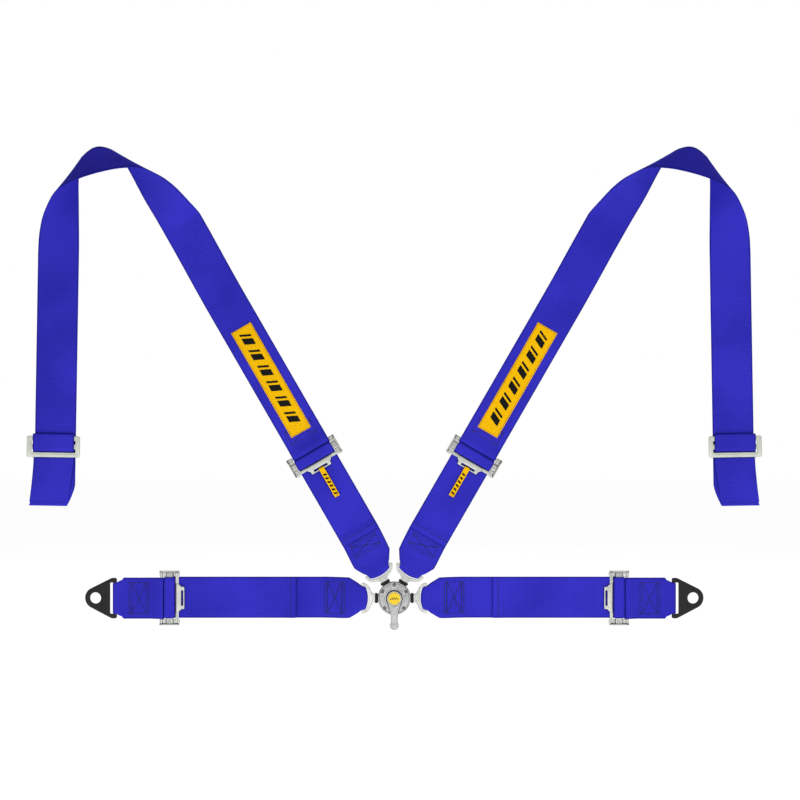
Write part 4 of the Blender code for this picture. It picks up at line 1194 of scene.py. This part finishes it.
def release_lever(matrix):
    """Hub with a rim round the badge, and a tapering arm with a thumb knob."""
    low, high = local_box("release_lever", matrix)
    base, top = low.z, high.z
    tip = low.y
    knob = 0.0081
    centre = tip + knob
    right = arc((0, 0), 0.0142, 90, -32, 24)
    right += [(0.0094, -0.0165), (0.0078, -0.0235), (0.0068, -0.031)]
    right += [(0.0062, -0.038), (0.0062, centre + 0.0078)]
    right += arc((0, centre), knob, 38, -90, 18)
    outline = right + [(-x, y) for x, y in reversed(right[1:-1])]
    meshes = [plate([outline], base, top - 0.0006, 0.0013)]
    rim = [(0.0116, top - 0.0010), (0.0116, top - 0.0001), (0.0119, top + 0.0002), (0.0129, top + 0.0002)]
    rim += [(0.0136, top - 0.0003), (0.0140, top - 0.0012), (0.0140, base + 0.0012), (0.0116, base + 0.0012)]
    rim.append(rim[0])
    meshes.append(lathe(rim, 96))
    inner = [(0.0062, -0.0150), (0.0050, -0.0250), (0.0042, -0.0360), (0.0042, centre + 0.0068)]
    spine = inner + [(-x, y) for x, y in reversed(inner)]
    meshes.append(plate([rounded(spine, 0.0012)], top - 0.0016, top - 0.0001, 0.0006))
    pad = arc((0, centre), knob - 0.0014, 20, -200, 30)
    meshes.append(plate([pad], top - 0.0012, top - 0.0002, 0.0004))
    piece("cast_lever", meshes, CAST, "lever", matrix, "release_lever")


def lever_badge(matrix):
    """A domed yellow badge with a small chequered band."""
    low, high = local_box("lever_badge", matrix)
    radius = high.x

    def dome_height(share):
        return high.z + 0.0002 - 0.0009 * share**2

    dome = [(radius * k / 16, dome_height(k / 16)) for k in range(16)]
    dome += [(radius, high.z - 0.0009), (radius, low.z), (0, low.z)]
    piece("domed_badge", [lathe(dome)], BADGE, "lever", matrix, "lever_badge")
    blocks = []
    cell = 0.0021
    for row in range(2):
        for column in range(row, 7, 2):
            x = (column - 3) * cell
            y = (row - 0.5) * cell
            height = dome_height(math.hypot(x, y) / radius)
            corners = rectangle(x - cell / 2, y - cell / 2, x + cell / 2, y + cell / 2)
            blocks.append(plate([rounded(corners, 0.0002, 2)], height - 0.0004, height + 0.00007, 0.00003))
    piece("badge_chequers", blocks, PLASTIC, "lever", matrix)


def buckle_back(matrix):
    """The soft pad behind the buckle, with a rolled edge and two shallow grooves."""
    low, high = local_box("buckle_back_pad", matrix)
    radius, back, top = high.x, low.z, high.z
    profile = [(0.0075, top), (radius - 0.0008, top), (radius - 0.0002, top - 0.0004), (radius, top - 0.0010)]
    profile += [(radius, back + 0.0010), (radius - 0.0003, back + 0.0004), (radius - 0.0010, back)]
    for groove in (0.0235, 0.0155):
        profile += [(groove + 0.0008, back), (groove + 0.0004, back + 0.0005)]
        profile += [(groove - 0.0004, back + 0.0005), (groove - 0.0008, back)]
    profile += [(0, back), (0, back + 0.0013), (0.0075, back + 0.0013), (0.0075, top)]
    piece("ribbed_back_pad", [lathe(profile, 96)], RUBBER, "buckle", matrix, "buckle_back_pad")


def carried_nodes():
    """The CAD nodes that stay, given their materials."""
    coat(NODES["buckle_base"].data, CAST[0])
    for name in ("latch_spring", "return_spring", "lever_spindle", "release_cam", "spindle_clip"):
        coat(NODES[name].data, STEEL[0])


# ---------------------------------------------------------------- studio

WORLD_LIGHT = 0.18
VIEW_WIDTH = 1.0901  # in the harness's own widths
VIEW_PLACE = (0.0104, 0.4194)  # the view's middle: its x, and its height above the lowest point


def area_light(name, place, aim, size, power):
    data = bpy.data.lights.new(name, "AREA")
    data.shape = "RECTANGLE"
    data.size, data.size_y = size
    data.energy = power
    light = bpy.data.objects.new(name, data)
    light.visible_glossy = False
    light.location = place
    light.rotation_euler = (Vector(aim) - Vector(place)).to_track_quat("-Z", "Y").to_euler()
    bpy.context.scene.collection.objects.link(light)


def world():
    """White to the camera, even for soft light, and with dark sides in what metal reflects."""
    g = Graph(bpy.data.worlds.new("studio"))
    g.tree.nodes.clear()
    rays = g.add("ShaderNodeLightPath")
    place = g.add("ShaderNodeTexCoord").outputs["Generated"]
    facing = g.math("ABSOLUTE", g.add("ShaderNodeSeparateXYZ", Vector=place).outputs["Y"])
    ramp = g.add("ShaderNodeValToRGB", Fac=facing)
    stops = ramp.color_ramp.elements
    for stop, value in ((stops[0], 0.30), (stops.new(0.5), 0.55), (stops.new(0.8), 0.95)):
        stop.color = (value, value, value * 1.01, 1)

    def background(strength, shade=(1, 1, 1, 1)):
        return g.add("ShaderNodeBackground", Color=shade, Strength=strength).outputs[0]

    def chosen(ray, other, seen):
        return g.first_output("ShaderNodeMixShader", None, rays.outputs[ray], other, seen)

    shader = chosen("Is Glossy Ray", background(WORLD_LIGHT), background(0.8, ramp.outputs[0]))
    g.add("ShaderNodeOutputWorld", Surface=chosen("Is Camera Ray", shader, background(1.0)))
    bpy.context.scene.world = g.owner


def floor(low):
    """A plain pale floor a little below the harness."""
    bm = bmesh.new()
    bmesh.ops.create_grid(bm, x_segments=1, y_segments=1, size=9)
    made = bpy.data.objects.new("floor", mesh_from(bm))
    made.location = (0, 0, low.z - 0.05)
    bpy.context.scene.collection.objects.link(made)
    g = new_material("pale_floor")
    g.set("Base Color", g.mix(g.blotches(3.0, 3.0), (0.24, 0.24, 0.24, 1), (0.27, 0.27, 0.27, 1)))
    g.set("Roughness", 0.9)
    g.set("Specular IOR Level", 0.0)
    g.set("Emission Color", (1, 1, 1, 1))
    g.set("Emission Strength", 0.93)
    made.data.materials.append(g.owner)


def camera(low, high):
    """Straight on from the front, with a long lens."""
    data = bpy.data.cameras.new("camera")
    data.lens = 100
    made = bpy.data.objects.new("camera", data)
    width = VIEW_WIDTH * (high.x - low.x)
    distance = width * data.lens / data.sensor_width
    made.location = (VIEW_PLACE[0], TONGUE_PLANE - distance, low.z + VIEW_PLACE[1])
    made.rotation_euler = (math.pi / 2, 0, 0)
    data.clip_start = 0.05
    data.clip_end = 40
    bpy.context.scene.collection.objects.link(made)
    bpy.context.scene.camera = made


for belt_name in BELTS:
    belt_frame = belt_matrix(belt_name)
    load_strap(belt_name, belt_frame)
    tail_strap(belt_name, belt_frame)
    adjuster(belt_name, belt_frame)
    tongue(belt_name, belt_frame)
    if belt_name.startswith("lap"):
        anchor_strap(belt_name, belt_frame)
        anchor_plate(belt_name, belt_frame)
    else:
        upper_strap(belt_name, belt_frame)
        label(belt_name, belt_frame)
        pull_tab(belt_name, belt_frame)
        tail_slide(belt_name)
buckle_frame = belt_matrix("lap_right")
buckle_cover(buckle_frame)
release_lever(buckle_frame)
lever_badge(buckle_frame)
buckle_back(buckle_frame)
carried_nodes()

bpy.context.scene.view_settings.view_transform = "Standard"
world()
floor(CAD_BOX[0])
camera(*CAD_BOX)
area_light("key", (0.6, -1.5, 2.2), (0, 0, 0.3), (0.9, 0.7), 12)
area_light("low", (0.05, -1.15, -0.15), (0.05, 0, -0.1), (1.5, 0.4), 14)
area_light("back", (0.3, 1.8, 1.8), (0, 0, 0.3), (1.6, 1.2), 12)
